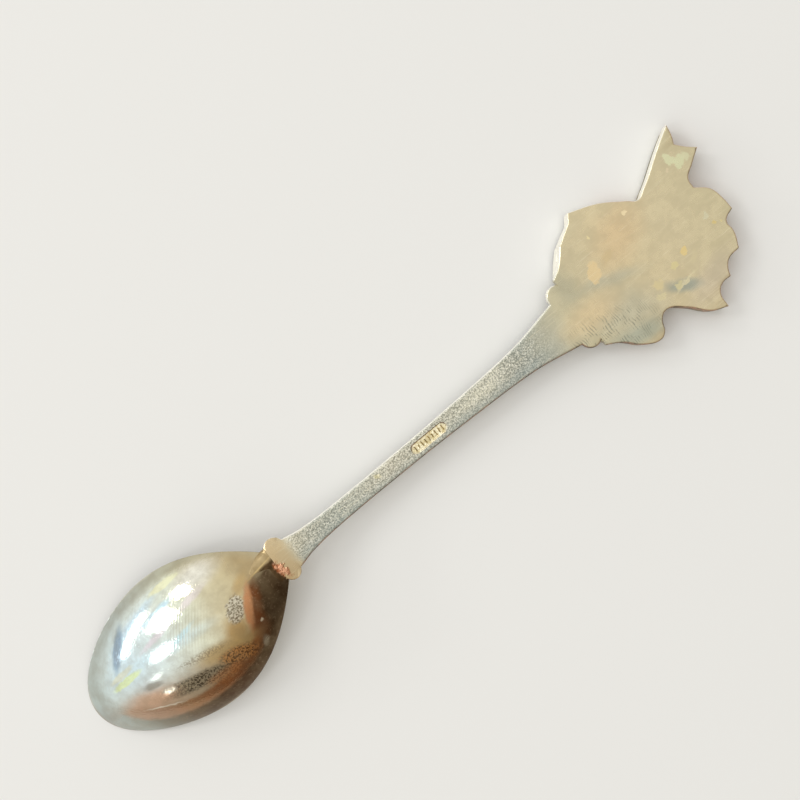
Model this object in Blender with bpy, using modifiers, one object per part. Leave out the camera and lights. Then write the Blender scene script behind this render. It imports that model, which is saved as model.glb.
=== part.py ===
"""Souvenir spoon, lying face down: pressed bowl, struck handle and cast emblem, brazed together.

The spoon's line is the x axis, with the emblem towards +x and the back of the spoon upwards.
It rests on the tip of the bowl's rim and on the high points of the emblem's relief, at z = 0.
"""

import math

import bmesh
import bpy
from mathutils import Vector

MM = 0.001

# Bowl: an egg outline, pressed to a crown and ground flat on the rim.
BOWL_LENGTH = 36.0 * MM
BOWL_HALF_WIDTH = 10.65 * MM
BOWL_DEPTH = 6.0 * MM
BOWL_WALL = 0.8 * MM
RIM_TILT = math.radians(8.3)
RIM_GRIND = 0.05 * MM
BOWL_OFF_LINE = -0.3 * MM
EGG_LEAN = 0.032
EGG_SHOULDER = 0.311
EGG_TAPER = 0.207
SIDE_FULLNESS = 0.86
NECK_FULLNESS = 1.12

# Handle: a strip with ears over the bowl's heel, a narrow shaft, and a collar with two knobs.
HANDLE_LENGTH = 54.7 * MM
HANDLE_THICKNESS = 1.5 * MM
HANDLE_EDGE = 0.12 * MM
SHAFT_HALF_WIDTH = 1.4 * MM
HEEL_LAP = 1.7 * MM
END_COVER = 0.35 * MM
END_CAMBER = 0.6 * MM
BEND_LENGTH = 18.7 * MM
BEND_POWER = 1.7
UNDERCUT_LENGTH = 4.6 * MM
EAR_RADIUS = 1.52 * MM
EAR_CENTRE = (1.35 * MM, 1.95 * MM)
KNOB_RADIUS = 1.7 * MM
KNOB_SETBACK = 0.7 * MM
KNOB_SEAT = 0.95
STEPS_ACROSS = 6
EAR_STEP = 0.25 * MM
SHAFT_STEPS = 24
KNOB_STRETCH = 4.0 * MM
KNOB_STEPS = 16

# The cartouche, a sunk oblong on the back of the shaft.
CARTOUCHE_LENGTH = 5.5 * MM
CARTOUCHE_WIDTH = 1.5 * MM
CARTOUCHE_DEPTH = 0.2 * MM
CARTOUCHE_MIDDLE = 27.5 * MM

# Emblem: a flat plate, with a relief sweated to its front.
EMBLEM_LENGTH = 27.5 * MM
EMBLEM_WIDTH = 25.25 * MM
PLATE_THICKNESS = 1.2 * MM
RELIEF_THICKNESS = 1.8 * MM
RELIEF_MARGIN = 0.985
GROUND_THICKNESS = 1.2 * MM
PLATE_EDGE = 0.08 * MM
TONGUE_ROOT = 1.5 * MM
TONGUE_LENGTH = 6.0 * MM
TONGUE_HALF_WIDTH = 3.0 * MM
TONGUE_THICKNESS = 0.6 * MM

# Joints.
FIT_GAP = 0.06 * MM
SEAM_WIDTH = 0.15 * MM
BEAD_RADIUS = 0.45 * MM
BEAD_DROP = 0.8
BEAD_POINTS = 9

# Worked out from the values above.
BACK_HEIGHT = PLATE_THICKNESS + RELIEF_THICKNESS
BOWL_PLAN = BOWL_LENGTH * math.cos(RIM_TILT)
SEAM_GAP = SEAM_WIDTH + 2 * FIT_GAP
OVERALL = BOWL_PLAN - HEEL_LAP + HANDLE_LENGTH + SEAM_GAP + EMBLEM_LENGTH
TIP_X = -OVERALL / 2
END_X = TIP_X + BOWL_PLAN - HEEL_LAP
COLLAR_X = END_X + HANDLE_LENGTH
PLATE_X = COLLAR_X + SEAM_GAP

# Width of the shaft along its length, as shares of its length and of its narrowest half width.
SHAFT_STATIONS = (
    (0.0, 1.76), (0.03, 1.75), (0.057, 1.61), (0.092, 1.30), (0.161, 1.07), (0.286, 1.0), (0.377, 1.014),
    (0.504, 1.07), (0.65, 1.25), (0.741, 1.39), (0.832, 1.68), (0.923, 2.34), (1.0, 2.95),
)

# The emblem's outline in mm from the middle of its heel, as drawn at the drawn length and width.
# Each point is marked "c" for a sharp corner or "s" for a smooth one.
DRAWN_LENGTH = 27.5
DRAWN_WIDTH = 25.25
HEEL_HALF_WIDTH = 5.25
OUTLINE = (
    (0.0, 5.25, "c"), (1.7, 7.3, "s"), (3.4, 9.1, "c"), (5.0, 10.0, "s"), (6.5, 10.8, "c"), (7.4, 12.0, "c"),
    (11.5, 10.4, "s"), (14.9, 8.1, "s"), (16.3, 7.15, "s"), (17.6, 7.7, "s"), (23.5, 11.3, "s"),
    (26.1, 12.75, "c"), (25.7, 11.0, "s"), (25.2, 9.9, "c"), (26.3, 8.6, "s"), (27.5, 7.55, "c"),
    (25.4, 6.15, "s"), (23.7, 4.9, "s"), (23.5, 3.5, "c"), (25.2, 1.9, "s"), (25.7, 0.0, "s"), (25.8, -2.2, "c"),
    (24.2, -2.9, "s"), (23.9, -3.5, "c"), (24.0, -4.6, "s"), (23.0, -7.1, "c"), (21.0, -7.4, "s"),
    (20.0, -8.4, "s"), (19.6, -9.4, "c"), (18.0, -9.5, "s"), (17.0, -10.4, "s"), (16.7, -12.5, "c"),
    (14.5, -11.5, "s"), (12.2, -9.0, "s"), (9.6, -7.35, "s"), (8.3, -8.1, "s"), (7.6, -9.5, "s"),
    (6.5, -10.1, "s"), (3.9, -8.9, "s"), (2.1, -7.05, "s"), (0.0, -5.25, "c"),
)

# The front motif: a flower on a ribbon between leaves, in the outline's drawn mm.
FLOWER_CENTRE = (15.9, -0.9)
FLOWER_RADIUS = 7.6
PETALS = 10
PETAL_SWELL = 0.07
BOSS_RADIUS = 2.7
LEAVES = (
    ((11.0, 2.0), (7.6, 10.9), 2.4),
    ((8.5, -1.5), (6.5, -8.9), 2.0),
    ((13.0, -4.5), (16.2, -10.9), 1.8),
)
RIBBON = ((15.0, 4.0), (17.5, 7.0), (25.0, 11.4), (24.4, 9.8), (26.0, 7.9), (21.5, 5.0), (19.0, 1.5))
STEM_HALF_WIDTH = 1.3
STEM_ENDS = (0.9, 12.0)

# How low each step of the front lies, as a share of the ground's height above the table.
STEM_LOW = 0.7
RIBBON_LOW = 0.62
LEAF_LOW = 0.56
LEAF_OVERLAP = 0.03
PETALS_LOW = 0.45
INNER_PETALS_LOW = 0.25
BOSS_SEAT = 0.6
INNER_PETALS_SIZE = 0.66
RIBBON_INSET = 0.97
LEAF_INSET = 0.95
BURIED_OFFSET = 0.02 * MM


def clear_scene():
    for item in list(bpy.data.objects):
        bpy.data.objects.remove(item, do_unlink=True)


def collection(name):
    group = bpy.data.collections.new(name)
    bpy.context.scene.collection.children.link(group)
    return group


def material(name, colour, metallic, roughness):
    mat = bpy.data.materials.new(name)
    mat.use_nodes = True
    shader = mat.node_tree.nodes["Principled BSDF"]
    shader.inputs["Base Color"].default_value = (*colour, 1.0)
    shader.inputs["Metallic"].default_value = metallic
    shader.inputs["Roughness"].default_value = roughness
    mat.diffuse_color = (*colour, 1.0)
    return mat


def mesh_object(name, bm, group):
    mesh = bpy.data.meshes.new(name)
    bmesh.ops.recalc_face_normals(bm, faces=bm.faces)
    bm.to_mesh(mesh)
    bm.free()
    item = bpy.data.objects.new(name, mesh)
    group.objects.link(item)
    return item


def apply_modifiers(item):
    """Bake the modifier stack into the object's own mesh."""
    bpy.context.view_layer.update()
    graph = bpy.context.evaluated_depsgraph_get()
    baked = bpy.data.meshes.new_from_object(item.evaluated_get(graph))
    item.modifiers.clear()
    item.data = baked


def combine(item, tool, operation):
    """Cut one object with a tool, or fuse the tool into it."""
    step = item.modifiers.new(operation.title(), "BOOLEAN")
    step.operation = operation
    step.solver = "EXACT"
    step.object = tool
    apply_modifiers(item)


def hide_tool(tool):
    tool.hide_render = True
    tool.display_type = "WIRE"


def round_edges(item, width, segments=2):
    step = item.modifiers.new("Rounded edges", "BEVEL")
    step.width = width
    step.segments = segments
    step.limit_method = "ANGLE"
    step.angle_limit = math.radians(40)
    apply_modifiers(item)


def shade_smooth(item, sharp_angle=35):
    for face in item.data.polygons:
        face.use_smooth = True
    item.data.set_sharp_from_angle(angle=math.radians(sharp_angle))


def box(name, low, high, group):
    """A box from its lowest to its highest corner."""
    bm = bmesh.new()
    bmesh.ops.create_cube(bm, size=1.0)
    low, high = Vector(low), Vector(high)
    for vert in bm.verts:
        vert.co = Vector([a + (b - a) * (c + 0.5) for a, b, c in zip(low, high, vert.co)])
    return mesh_object(name, bm, group)


def through(stations, x):
    """A smooth curve through hand-set stations, read at x."""
    xs = [s[0] for s in stations]
    ys = [s[1] for s in stations]
    last = len(xs) - 1
    slopes = []
    for i in range(len(xs)):
        a, b = max(i - 1, 0), min(i + 1, last)
        slopes.append((ys[b] - ys[a]) / (xs[b] - xs[a]))
    x = min(max(x, xs[0]), xs[-1])
    i = min(sum(1 for known in xs[1:] if known <= x), last - 1)
    span = xs[i + 1] - xs[i]
    t = (x - xs[i]) / span
    rise = (2 * t**3 - 3 * t**2 + 1) * ys[i] + (3 * t**2 - 2 * t**3) * ys[i + 1]
    bend = (t**3 - 2 * t**2 + t) * slopes[i] + (t**3 - t**2) * slopes[i + 1]
    return rise + span * bend


# ---- bowl -------------------------------------------------------------------------------------


def bowl_point(turn, reach, grow):
    """A point of the bowl's outer skin in the bowl's own frame: the tip at x = 0, the rim at z = 0."""
    c, s = math.cos(turn), math.sin(turn)
    half = BOWL_LENGTH / 2
    egg = s * (1 - reach**2 * (EGG_LEAN * c + EGG_SHOULDER * c**2 + EGG_TAPER * c**3))
    fullness = SIDE_FULLNESS + (NECK_FULLNESS - SIDE_FULLNESS) * max(0.0, c) ** 3 * reach**2
    height = (BOWL_DEPTH + grow) * max(0.0, 1 - reach**2) ** fullness
    return Vector((half + (half + grow) * c * reach, (BOWL_HALF_WIDTH + grow) * egg * reach, height))


def crown_height(x):
    """Height of the bowl's back on its middle line, at a place along the spoon."""
    along = (x - TIP_X) / math.cos(RIM_TILT)
    half = BOWL_LENGTH / 2
    crown = bowl_point(0.0, (along - half) / half, 0.0).z
    return along * math.sin(RIM_TILT) + crown * math.cos(RIM_TILT)


def rim_height(x):
    return (x - TIP_X) * math.tan(RIM_TILT)


def bowl_skin(grow, segments=56, rings=14):
    """The bowl's open outer skin, made from the upper half of a sphere."""
    bm = bmesh.new()
    bmesh.ops.create_uvsphere(bm, u_segments=segments, v_segments=rings * 2, radius=1.0)
    below = [v for v in bm.verts if v.co.z < -1e-4]
    bmesh.ops.delete(bm, geom=below, context="VERTS")
    for vert in bm.verts:
        reach = min(1.0, math.hypot(vert.co.x, vert.co.y))
        vert.co = bowl_point(math.atan2(vert.co.y, vert.co.x), reach, grow)
    return bm


def set_in_place(item):
    """Tilt the bowl's frame about the rim at its tip, a little off the handle's line."""
    item.location = (TIP_X, BOWL_OFF_LINE, 0)
    item.rotation_euler = (0, -RIM_TILT, 0)


def make_bowl(group, tools):
    bowl = mesh_object("bowl", bowl_skin(0.0), group)
    shell = bowl.modifiers.new("Pressed sheet", "SOLIDIFY")
    shell.thickness = BOWL_WALL
    shell.offset = -1.0
    shell.use_even_offset = True
    apply_modifiers(bowl)
    reach = BOWL_LENGTH + BOWL_WALL
    grind = box("rim_grind", (-reach, -reach, -reach), (2 * reach, reach, RIM_GRIND), tools)
    hide_tool(grind)
    combine(bowl, grind, "DIFFERENCE")
    set_in_place(bowl)
    shade_smooth(bowl)
    bowl.data.materials.clear()
    bowl.data.materials.append(material("Toned silver plate", (0.62, 0.56, 0.46), 1.0, 0.22))
    return bowl


def make_heel_tool(tools):
    """A solid the shape of the bowl's back, one fit gap larger, for cutting what lies on the bowl."""
    bm = bowl_skin(FIT_GAP)
    rim = [e for e in bm.edges if e.is_boundary]
    walls = bmesh.ops.extrude_edge_only(bm, edges=rim)["geom"]
    low = [v for v in walls if isinstance(v, bmesh.types.BMVert)]
    bmesh.ops.translate(bm, verts=low, vec=(0, 0, -BOWL_DEPTH))
    bmesh.ops.holes_fill(bm, edges=[e for e in bm.edges if e.is_boundary], sides=0)
    tool = mesh_object("heel_tool", bm, tools)
    set_in_place(tool)
    hide_tool(tool)
    return tool


# ---- handle -----------------------------------------------------------------------------------


def collar_half_width():
    return HEEL_HALF_WIDTH * MM * EMBLEM_WIDTH / (DRAWN_WIDTH * MM)


def disc_reach(x, centre, height, radius):
    """How far out a round lump reaches at x, or nothing where it doesn't."""
    inside = radius**2 - (x - centre) ** 2
    return height + math.sqrt(inside) if inside > 0 else 0.0


def handle_half_width(x):
    """Half the handle's width at a distance from its end over the bowl."""
    shaft = SHAFT_HALF_WIDTH * through(SHAFT_STATIONS, x / HANDLE_LENGTH)
    ear = disc_reach(x, EAR_CENTRE[0], EAR_CENTRE[1], EAR_RADIUS)
    knob_height = collar_half_width() - KNOB_RADIUS * KNOB_SEAT
    knob = disc_reach(x, HANDLE_LENGTH - KNOB_SETBACK, knob_height, KNOB_RADIUS)
    return max(shaft, ear, knob)


def back_height(x):
    """Height of the handle's back on its middle line: level, then bent up to the bowl's crown."""
    neck = crown_height(END_X) + END_COVER
    share = max(0.0, 1 - x / BEND_LENGTH)
    return BACK_HEIGHT + (neck - BACK_HEIGHT) * share**BEND_POWER


def front_height(x):
    """Height of the handle's front, which runs out level with the bowl's rim under the ears."""
    plain = back_height(x) - HANDLE_THICKNESS
    blend = min(1.0, max(0.0, (x - HEEL_LAP) / (UNDERCUT_LENGTH - HEEL_LAP)))
    blend = blend * blend * (3 - 2 * blend)
    return plain * blend + rim_height(END_X + x) * (1 - blend)


def handle_stations():
    """Places along the handle: close together over the ears and knobs, wide apart on the shaft."""
    places = [i * EAR_STEP for i in range(math.ceil(UNDERCUT_LENGTH / EAR_STEP - 0.01))]
    shaft = HANDLE_LENGTH - KNOB_STRETCH - UNDERCUT_LENGTH
    places += [UNDERCUT_LENGTH + shaft * i / SHAFT_STEPS for i in range(SHAFT_STEPS)]
    places += [HANDLE_LENGTH - KNOB_STRETCH * (1 - i / KNOB_STEPS) for i in range(KNOB_STEPS + 1)]
    return places


def make_handle(group, tools, heel_tool):
    places = handle_stations()
    bm = bmesh.new()
    bmesh.ops.create_grid(bm, x_segments=len(places) - 1, y_segments=STEPS_ACROSS, size=1.0)
    top = list(bm.verts)
    fronts = {}
    for vert in top:
        x = places[round((vert.co.x + 1) / 2 * (len(places) - 1))]
        side = vert.co.y
        camber = END_CAMBER * max(0.0, 1 - x / UNDERCUT_LENGTH) * side**2
        vert.co = Vector((END_X + x, side * handle_half_width(x), back_height(x) - camber))
        fronts[(round(vert.co.x, 7), round(vert.co.y, 7))] = front_height(x)
    made = bmesh.ops.extrude_face_region(bm, geom=list(bm.faces))["geom"]
    for vert in [g for g in made if isinstance(g, bmesh.types.BMVert)]:
        vert.co.z = fronts[(round(vert.co.x, 7), round(vert.co.y, 7))]
    handle = mesh_object("handle", bm, group)
    round_edges(handle, HANDLE_EDGE)
    combine(handle, heel_tool, "DIFFERENCE")
    combine(handle, make_tongue(tools, 0.0), "UNION")
    combine(handle, make_cartouche_tool(tools), "DIFFERENCE")
    shade_smooth(handle)
    handle.data.materials.clear()
    handle.data.materials.append(material("Stippled silver plate", (0.55, 0.52, 0.44), 1.0, 0.42))
    return handle


def make_tongue(tools, grow):
    """The tongue behind the emblem plate, or its pocket when it is grown."""
    low = RELIEF_THICKNESS + FIT_GAP - grow
    start = COLLAR_X - TONGUE_ROOT
    half = TONGUE_HALF_WIDTH + grow
    end = COLLAR_X + TONGUE_LENGTH + grow
    tongue = box("tongue", (start, -half, low), (end, half, low + TONGUE_THICKNESS + 2 * grow), tools)
    hide_tool(tongue)
    return tongue


def make_cartouche_tool(tools):
    """A flat stadium that sinks the cartouche into the back of the shaft."""
    bm = bmesh.new()
    radius = CARTOUCHE_WIDTH / 2
    bmesh.ops.create_cone(
        bm, cap_ends=True, segments=32, radius1=radius, radius2=radius, depth=2 * CARTOUCHE_DEPTH
    )
    straight = (CARTOUCHE_LENGTH - CARTOUCHE_WIDTH) / 2
    for vert in bm.verts:
        vert.co.x += math.copysign(straight, vert.co.x) if abs(vert.co.x) > radius * 1e-3 else 0.0
    tool = mesh_object("cartouche_tool", bm, tools)
    tool.location = (END_X + CARTOUCHE_MIDDLE, 0, back_height(CARTOUCHE_MIDDLE))
    hide_tool(tool)
    return tool


# ---- emblem -----------------------------------------------------------------------------------


def emblem_place(x, y, share=1.0):
    """From the drawn mm to the emblem's own size, drawn in towards the flower by a share."""
    x = FLOWER_CENTRE[0] + (x - FLOWER_CENTRE[0]) * share
    y = FLOWER_CENTRE[1] + (y - FLOWER_CENTRE[1]) * share
    return (PLATE_X + x * EMBLEM_LENGTH / DRAWN_LENGTH, y * EMBLEM_WIDTH / DRAWN_WIDTH)


def flat_shape(name, points, low, high, group, share=1.0):
    """A closed outline of marked points, cut from sheet between two heights."""
    curve = bpy.data.curves.new(name, "CURVE")
    curve.dimensions = "2D"
    curve.fill_mode = "BOTH"
    curve.extrude = (high - low) / 2
    curve.resolution_u = 4
    spline = curve.splines.new("BEZIER")
    spline.bezier_points.add(len(points) - 1)
    spline.use_cyclic_u = True
    for point, (x, y, kind) in zip(spline.bezier_points, points):
        point.co = (*emblem_place(x, y, share), 0.0)
        handle_type = "VECTOR" if kind == "c" else "AUTO"
        point.handle_left_type = handle_type
        point.handle_right_type = handle_type
    drawn = bpy.data.objects.new(name + "_outline", curve)
    drawn.location = (0, 0, (low + high) / 2)
    group.objects.link(drawn)
    bpy.context.view_layer.update()
    graph = bpy.context.evaluated_depsgraph_get()
    bm = bmesh.new()
    bm.from_mesh(bpy.data.meshes.new_from_object(drawn.evaluated_get(graph)))
    bmesh.ops.remove_doubles(bm, verts=bm.verts, dist=0.002 * MM)
    bm.transform(drawn.matrix_world)
    bpy.data.objects.remove(drawn, do_unlink=True)
    return mesh_object(name, bm, group)


def make_plate(group, tools):
    plate = flat_shape("emblem_plate", OUTLINE, RELIEF_THICKNESS, BACK_HEIGHT, group)
    round_edges(plate, PLATE_EDGE, segments=1)
    combine(plate, make_tongue(tools, FIT_GAP), "DIFFERENCE")
    plate.data.materials.clear()
    plate.data.materials.append(material("Dressed silver plate", (0.60, 0.54, 0.43), 1.0, 0.35))
    return plate


def flower_outline(radius):
    steps = PETALS * 6
    points = []
    for i in range(steps):
        turn = 2 * math.pi * i / steps
        reach = radius * (1 + PETAL_SWELL * abs(math.sin(PETALS * turn / 2)))
        x = FLOWER_CENTRE[0] + reach * math.cos(turn)
        y = FLOWER_CENTRE[1] + reach * math.sin(turn)
        points.append((x, y, "c"))
    return points


def leaf_outline(root, tip, half_width):
    """A pointed leaf between two points."""
    root, tip = Vector(root), Vector(tip)
    middle = (root + tip) / 2
    side = Vector((-(tip - root).y, (tip - root).x)).normalized() * half_width
    return [(*root, "c"), (*(middle + side), "s"), (*tip, "c"), (*(middle - side), "s")]


def boss(tools, low):
    """The flower's domed centre, the emblem's high point."""
    bm = bmesh.new()
    bmesh.ops.create_uvsphere(bm, u_segments=24, v_segments=12, radius=1.0)
    x, y = emblem_place(*FLOWER_CENTRE)
    radius = BOSS_RADIUS * MM
    for vert in bm.verts:
        vert.co = Vector((x + vert.co.x * radius, y + vert.co.y * radius, low * (1 + vert.co.z)))
    return mesh_object("boss", bm, tools)


def make_relief(group, tools):
    """The front of the emblem in steps: ground, leaves and ribbon, petals, boss."""
    top = RELIEF_THICKNESS - FIT_GAP
    ground = top - GROUND_THICKNESS
    relief = flat_shape("emblem_relief", OUTLINE, ground, top, group, RELIEF_MARGIN)
    inside = top - GROUND_THICKNESS / 2
    ribbon = [(x, y, "c") for x, y in RIBBON]
    steps = [flat_shape("ribbon", ribbon, ground * RIBBON_LOW, inside, tools, RIBBON_INSET)]
    for number, leaf in enumerate(LEAVES):
        low = ground * (LEAF_LOW + LEAF_OVERLAP * number)
        steps.append(flat_shape("leaf", leaf_outline(*leaf), low, inside, tools, LEAF_INSET))
    start, end = STEM_ENDS
    half = STEM_HALF_WIDTH
    stem = ((start, half, "c"), (start, -half, "c"), (end, -half, "c"), (end, half, "c"))
    steps.append(flat_shape("stem", stem, ground * STEM_LOW, inside - BURIED_OFFSET, tools))
    petals = flower_outline(FLOWER_RADIUS)
    steps.append(flat_shape("petals", petals, ground * PETALS_LOW, inside + BURIED_OFFSET, tools))
    inner = flower_outline(FLOWER_RADIUS * INNER_PETALS_SIZE)
    steps.append(flat_shape("inner_petals", inner, ground * INNER_PETALS_LOW, inside, tools))
    steps.append(boss(tools, ground * BOSS_SEAT))
    for step in steps:
        hide_tool(step)
        combine(relief, step, "UNION")
    relief.data.materials.clear()
    relief.data.materials.append(material("Struck silver plate", (0.58, 0.54, 0.46), 1.0, 0.38))
    return relief


# ---- braze ------------------------------------------------------------------------------------


def copper(name):
    return material(name, (0.62, 0.30, 0.17), 1.0, 0.4)


def make_bowl_braze(group, tools, heel_tool):
    """The bead of braze in the corner between the handle's end and the bowl's back."""
    half = handle_half_width(0.0) - BEAD_RADIUS
    curve = bpy.data.curves.new("bead", "CURVE")
    curve.dimensions = "3D"
    curve.bevel_depth = BEAD_RADIUS
    curve.bevel_resolution = 3
    curve.use_fill_caps = True
    spline = curve.splines.new("POLY")
    spline.points.add(BEAD_POINTS - 1)
    edge = back_height(0.0) - END_COVER
    drop = edge - rim_height(END_X)
    for number, point in enumerate(spline.points):
        side = 2 * number / (BEAD_POINTS - 1) - 1
        point.co = (END_X - FIT_GAP, side * half, edge - drop * BEAD_DROP * side**2, 1.0)
    drawn = bpy.data.objects.new("bead", curve)
    tools.objects.link(drawn)
    bpy.context.view_layer.update()
    graph = bpy.context.evaluated_depsgraph_get()
    bm = bmesh.new()
    bm.from_mesh(bpy.data.meshes.new_from_object(drawn.evaluated_get(graph)))
    bmesh.ops.remove_doubles(bm, verts=bm.verts, dist=0.002 * MM)
    bpy.data.objects.remove(drawn, do_unlink=True)
    bead = mesh_object("bowl_braze", bm, group)
    reach = 2 * half
    low, high = (END_X - FIT_GAP, -reach, 0), (END_X + reach, reach, 3 * BACK_HEIGHT)
    handle_end = box("handle_end_tool", low, high, tools)
    hide_tool(handle_end)
    combine(bead, handle_end, "DIFFERENCE")
    combine(bead, heel_tool, "DIFFERENCE")
    shade_smooth(bead)
    bead.data.materials.clear()
    bead.data.materials.append(copper("Copper braze"))
    return bead


def make_emblem_braze(group):
    """The strip of braze in the seam between the collar and the emblem plate, over the tongue."""
    half = collar_half_width() - 2 * FIT_GAP
    low = RELIEF_THICKNESS + TONGUE_THICKNESS + 2 * FIT_GAP
    high = BACK_HEIGHT - FIT_GAP
    seam = COLLAR_X + FIT_GAP
    strip = box("emblem_braze", (seam, -half, low), (seam + SEAM_WIDTH, half, high), group)
    strip.data.materials.append(copper("Dressed braze"))
    return strip


def main():
    clear_scene()
    parts = collection("souvenir_spoon")
    tools = collection("cutters")
    tools.hide_render = True
    heel_tool = make_heel_tool(tools)
    make_bowl(parts, tools)
    make_handle(parts, tools, heel_tool)
    make_plate(parts, tools)
    make_relief(parts, tools)
    make_bowl_braze(parts, tools, heel_tool)
    make_emblem_braze(parts)


main()
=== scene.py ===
"""Souvenir spoon, face down on a pale table: toned silver plate, stippled handle, dressed emblem."""

import math
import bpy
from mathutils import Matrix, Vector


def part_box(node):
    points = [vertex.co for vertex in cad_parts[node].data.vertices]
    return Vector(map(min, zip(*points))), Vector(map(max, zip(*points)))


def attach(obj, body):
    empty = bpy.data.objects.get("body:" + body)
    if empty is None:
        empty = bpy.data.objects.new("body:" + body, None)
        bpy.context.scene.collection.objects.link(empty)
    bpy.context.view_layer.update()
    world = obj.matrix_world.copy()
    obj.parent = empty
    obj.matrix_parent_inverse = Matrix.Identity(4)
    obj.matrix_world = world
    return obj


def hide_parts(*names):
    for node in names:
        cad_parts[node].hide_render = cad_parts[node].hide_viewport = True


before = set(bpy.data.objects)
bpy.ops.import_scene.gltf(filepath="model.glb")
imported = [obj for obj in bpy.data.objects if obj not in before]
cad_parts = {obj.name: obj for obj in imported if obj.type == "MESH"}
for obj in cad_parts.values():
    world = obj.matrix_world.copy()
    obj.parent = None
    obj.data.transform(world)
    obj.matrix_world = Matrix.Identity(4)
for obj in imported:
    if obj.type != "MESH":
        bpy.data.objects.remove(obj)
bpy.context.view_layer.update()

from types import SimpleNamespace

import bmesh
import bpy
from mathutils import Vector

MM = 0.001
# How far the bowl's tip stays inside the made one.
INSET = 0.01 * MM

# The made pieces' places, taken from the frame.
BOWL_LOW, BOWL_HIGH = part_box("bowl")
HANDLE_LOW, HANDLE_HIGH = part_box("handle")
PLATE_LOW, PLATE_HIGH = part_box("emblem_plate")
RELIEF_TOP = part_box("emblem_relief")[1].z
TIP_X = BOWL_LOW.x + INSET
END_X = HANDLE_LOW.x
SEAM_X = PLATE_LOW.x
BACK_HEIGHT = PLATE_HIGH.z
BOWL_LINE = (BOWL_LOW.y + BOWL_HIGH.y) / 2

# Bowl.
BOWL_LENGTH = 36.0 * MM
BOWL_HALF_WIDTH = 10.65 * MM
BOWL_DEPTH = 5.99 * MM
BOWL_WALL = 0.8 * MM
RIM_TILT = math.radians(8.3)
RIM_GRIND = 0.05 * MM
RIM_ROUNDING = 0.12 * MM
# Faces that point down by more than this are the inside.
INSIDE_FACING = -0.15
# How the outline leaves an oval towards the tip and the heel, and how full the crown is there.
EGG_SHAPE = (0.032, 0.311, 0.207)
CROWN_POWER = 0.86
HEEL_POWER = 0.26

# Handle.
HANDLE_LENGTH = SEAM_X - END_X
HANDLE_THICKNESS = 1.5 * MM
EDGE_ROUNDING = 0.32 * MM
SHAFT_HALF_WIDTH = 1.4 * MM
HEEL_LAP = 1.7 * MM
END_CAMBER = 0.6 * MM
NECK_WEAR = 0.32 * MM
BEND_LENGTH = 18.7 * MM
BEND_POWER = 1.7
UNDERCUT_LENGTH = 4.6 * MM
EAR_RADIUS = 1.52 * MM
LOWER_EAR_RADIUS = 1.3 * MM
EAR_CENTRE = (1.35 * MM, 1.95 * MM)
KNOB_RADIUS = 1.5 * MM
KNOB_SETBACK = 0.95 * MM
LOWER_KNOB_DROP = 0.4 * MM
COLLAR_HALF_WIDTH = 5.45 * MM
CARTOUCHE_LENGTH = 6.2 * MM
CARTOUCHE_WIDTH = 1.6 * MM
CARTOUCHE_DEPTH = 0.2 * MM
CARTOUCHE_X = END_X + 27.5 * MM
END_STEP = 0.12 * MM
END_STEPS = 41
SHAFT_STEPS = 92
COLLAR_REACH = 3.6 * MM
COLLAR_STEPS = 32
# Steps round its section: in each corner, and on the upper side, the back, the lower side and the front.
CORNER_STEPS = 4
FLAT_STEPS = (2, 16, 2, 10)

# Marks struck in the cartouche: bars whose heights and leans take turns.
MARK_COUNT = 9
MARK_MARGIN = 1.4 * MM
MARK_HALF_HEIGHTS = (0.42 * MM, 0.30 * MM, 0.42 * MM, 0.36 * MM)
MARK_LEANS = (0.0, 0.06 * MM, -0.04 * MM)
# Of a bar's foot and top: half width, share of its height across, and height over the floor.
MARK_FOOT = (0.09 * MM, 1.0, -0.05 * MM)
MARK_TOP = (0.05 * MM, 0.9, 0.13 * MM)

# Neck braze: how far it runs out onto the bowl, in mm, and what the upper side and the rim add to that.
NECK_RUN = 0.9
UPPER_RUN = 2.7
RIM_RUN = -2.2
SEAM_ROUNDING = 0.05 * MM
NECK_START = 0.5 * MM
NECK_END = -3.8 * MM
NECK_STEPS = 56
NECK_STEPS_ACROSS = 80

# Shaft widths: share of the handle's length, share of the narrowest half width.
SHAFT_STATIONS = (
    (0.0, 1.76), (0.03, 1.75), (0.057, 1.61), (0.092, 1.30), (0.161, 1.07), (0.286, 1.0), (0.377, 1.014),
    (0.504, 1.07), (0.65, 1.25), (0.741, 1.39), (0.832, 1.68), (0.923, 2.34), (1.0, 2.95),
)

# Emblem outline in mm from the middle of its heel: "c" is a sharp corner, "s" a smooth point.
OUTLINE = (
    (0.0, 5.25, "c"), (1.7, 7.3, "s"), (3.4, 9.1, "c"), (5.0, 10.0, "s"), (6.5, 10.8, "c"),
    (7.4, 12.0, "c"), (11.5, 10.4, "s"), (14.9, 8.1, "s"), (16.3, 7.15, "s"), (17.6, 7.7, "s"),
    (23.5, 11.3, "s"), (26.1, 12.75, "c"), (25.7, 11.0, "s"), (25.2, 9.9, "c"), (26.3, 8.6, "s"),
    (27.5, 7.55, "c"), (25.4, 6.15, "s"), (23.7, 4.9, "s"), (23.5, 3.5, "c"), (25.2, 1.9, "s"),
    (25.7, 0.0, "s"), (25.8, -2.2, "c"), (24.2, -2.9, "s"), (23.9, -3.5, "c"), (24.0, -4.6, "s"),
    (23.0, -7.1, "c"), (21.0, -7.4, "s"), (20.0, -8.4, "s"), (19.6, -9.4, "c"), (18.0, -9.5, "s"),
    (17.0, -10.4, "s"), (16.7, -12.5, "c"), (14.5, -11.5, "s"), (12.2, -9.0, "s"), (9.6, -7.35, "s"),
    (8.3, -8.1, "s"), (7.6, -9.5, "s"), (6.5, -10.1, "s"), (3.9, -8.9, "s"), (2.1, -7.05, "s"),
    (0.0, -5.25, "c"),
)
FLOWER_CENTRE = (15.9, -0.9)
MIDDLE_RADIUS = 2.1
PETALS = 10
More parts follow.
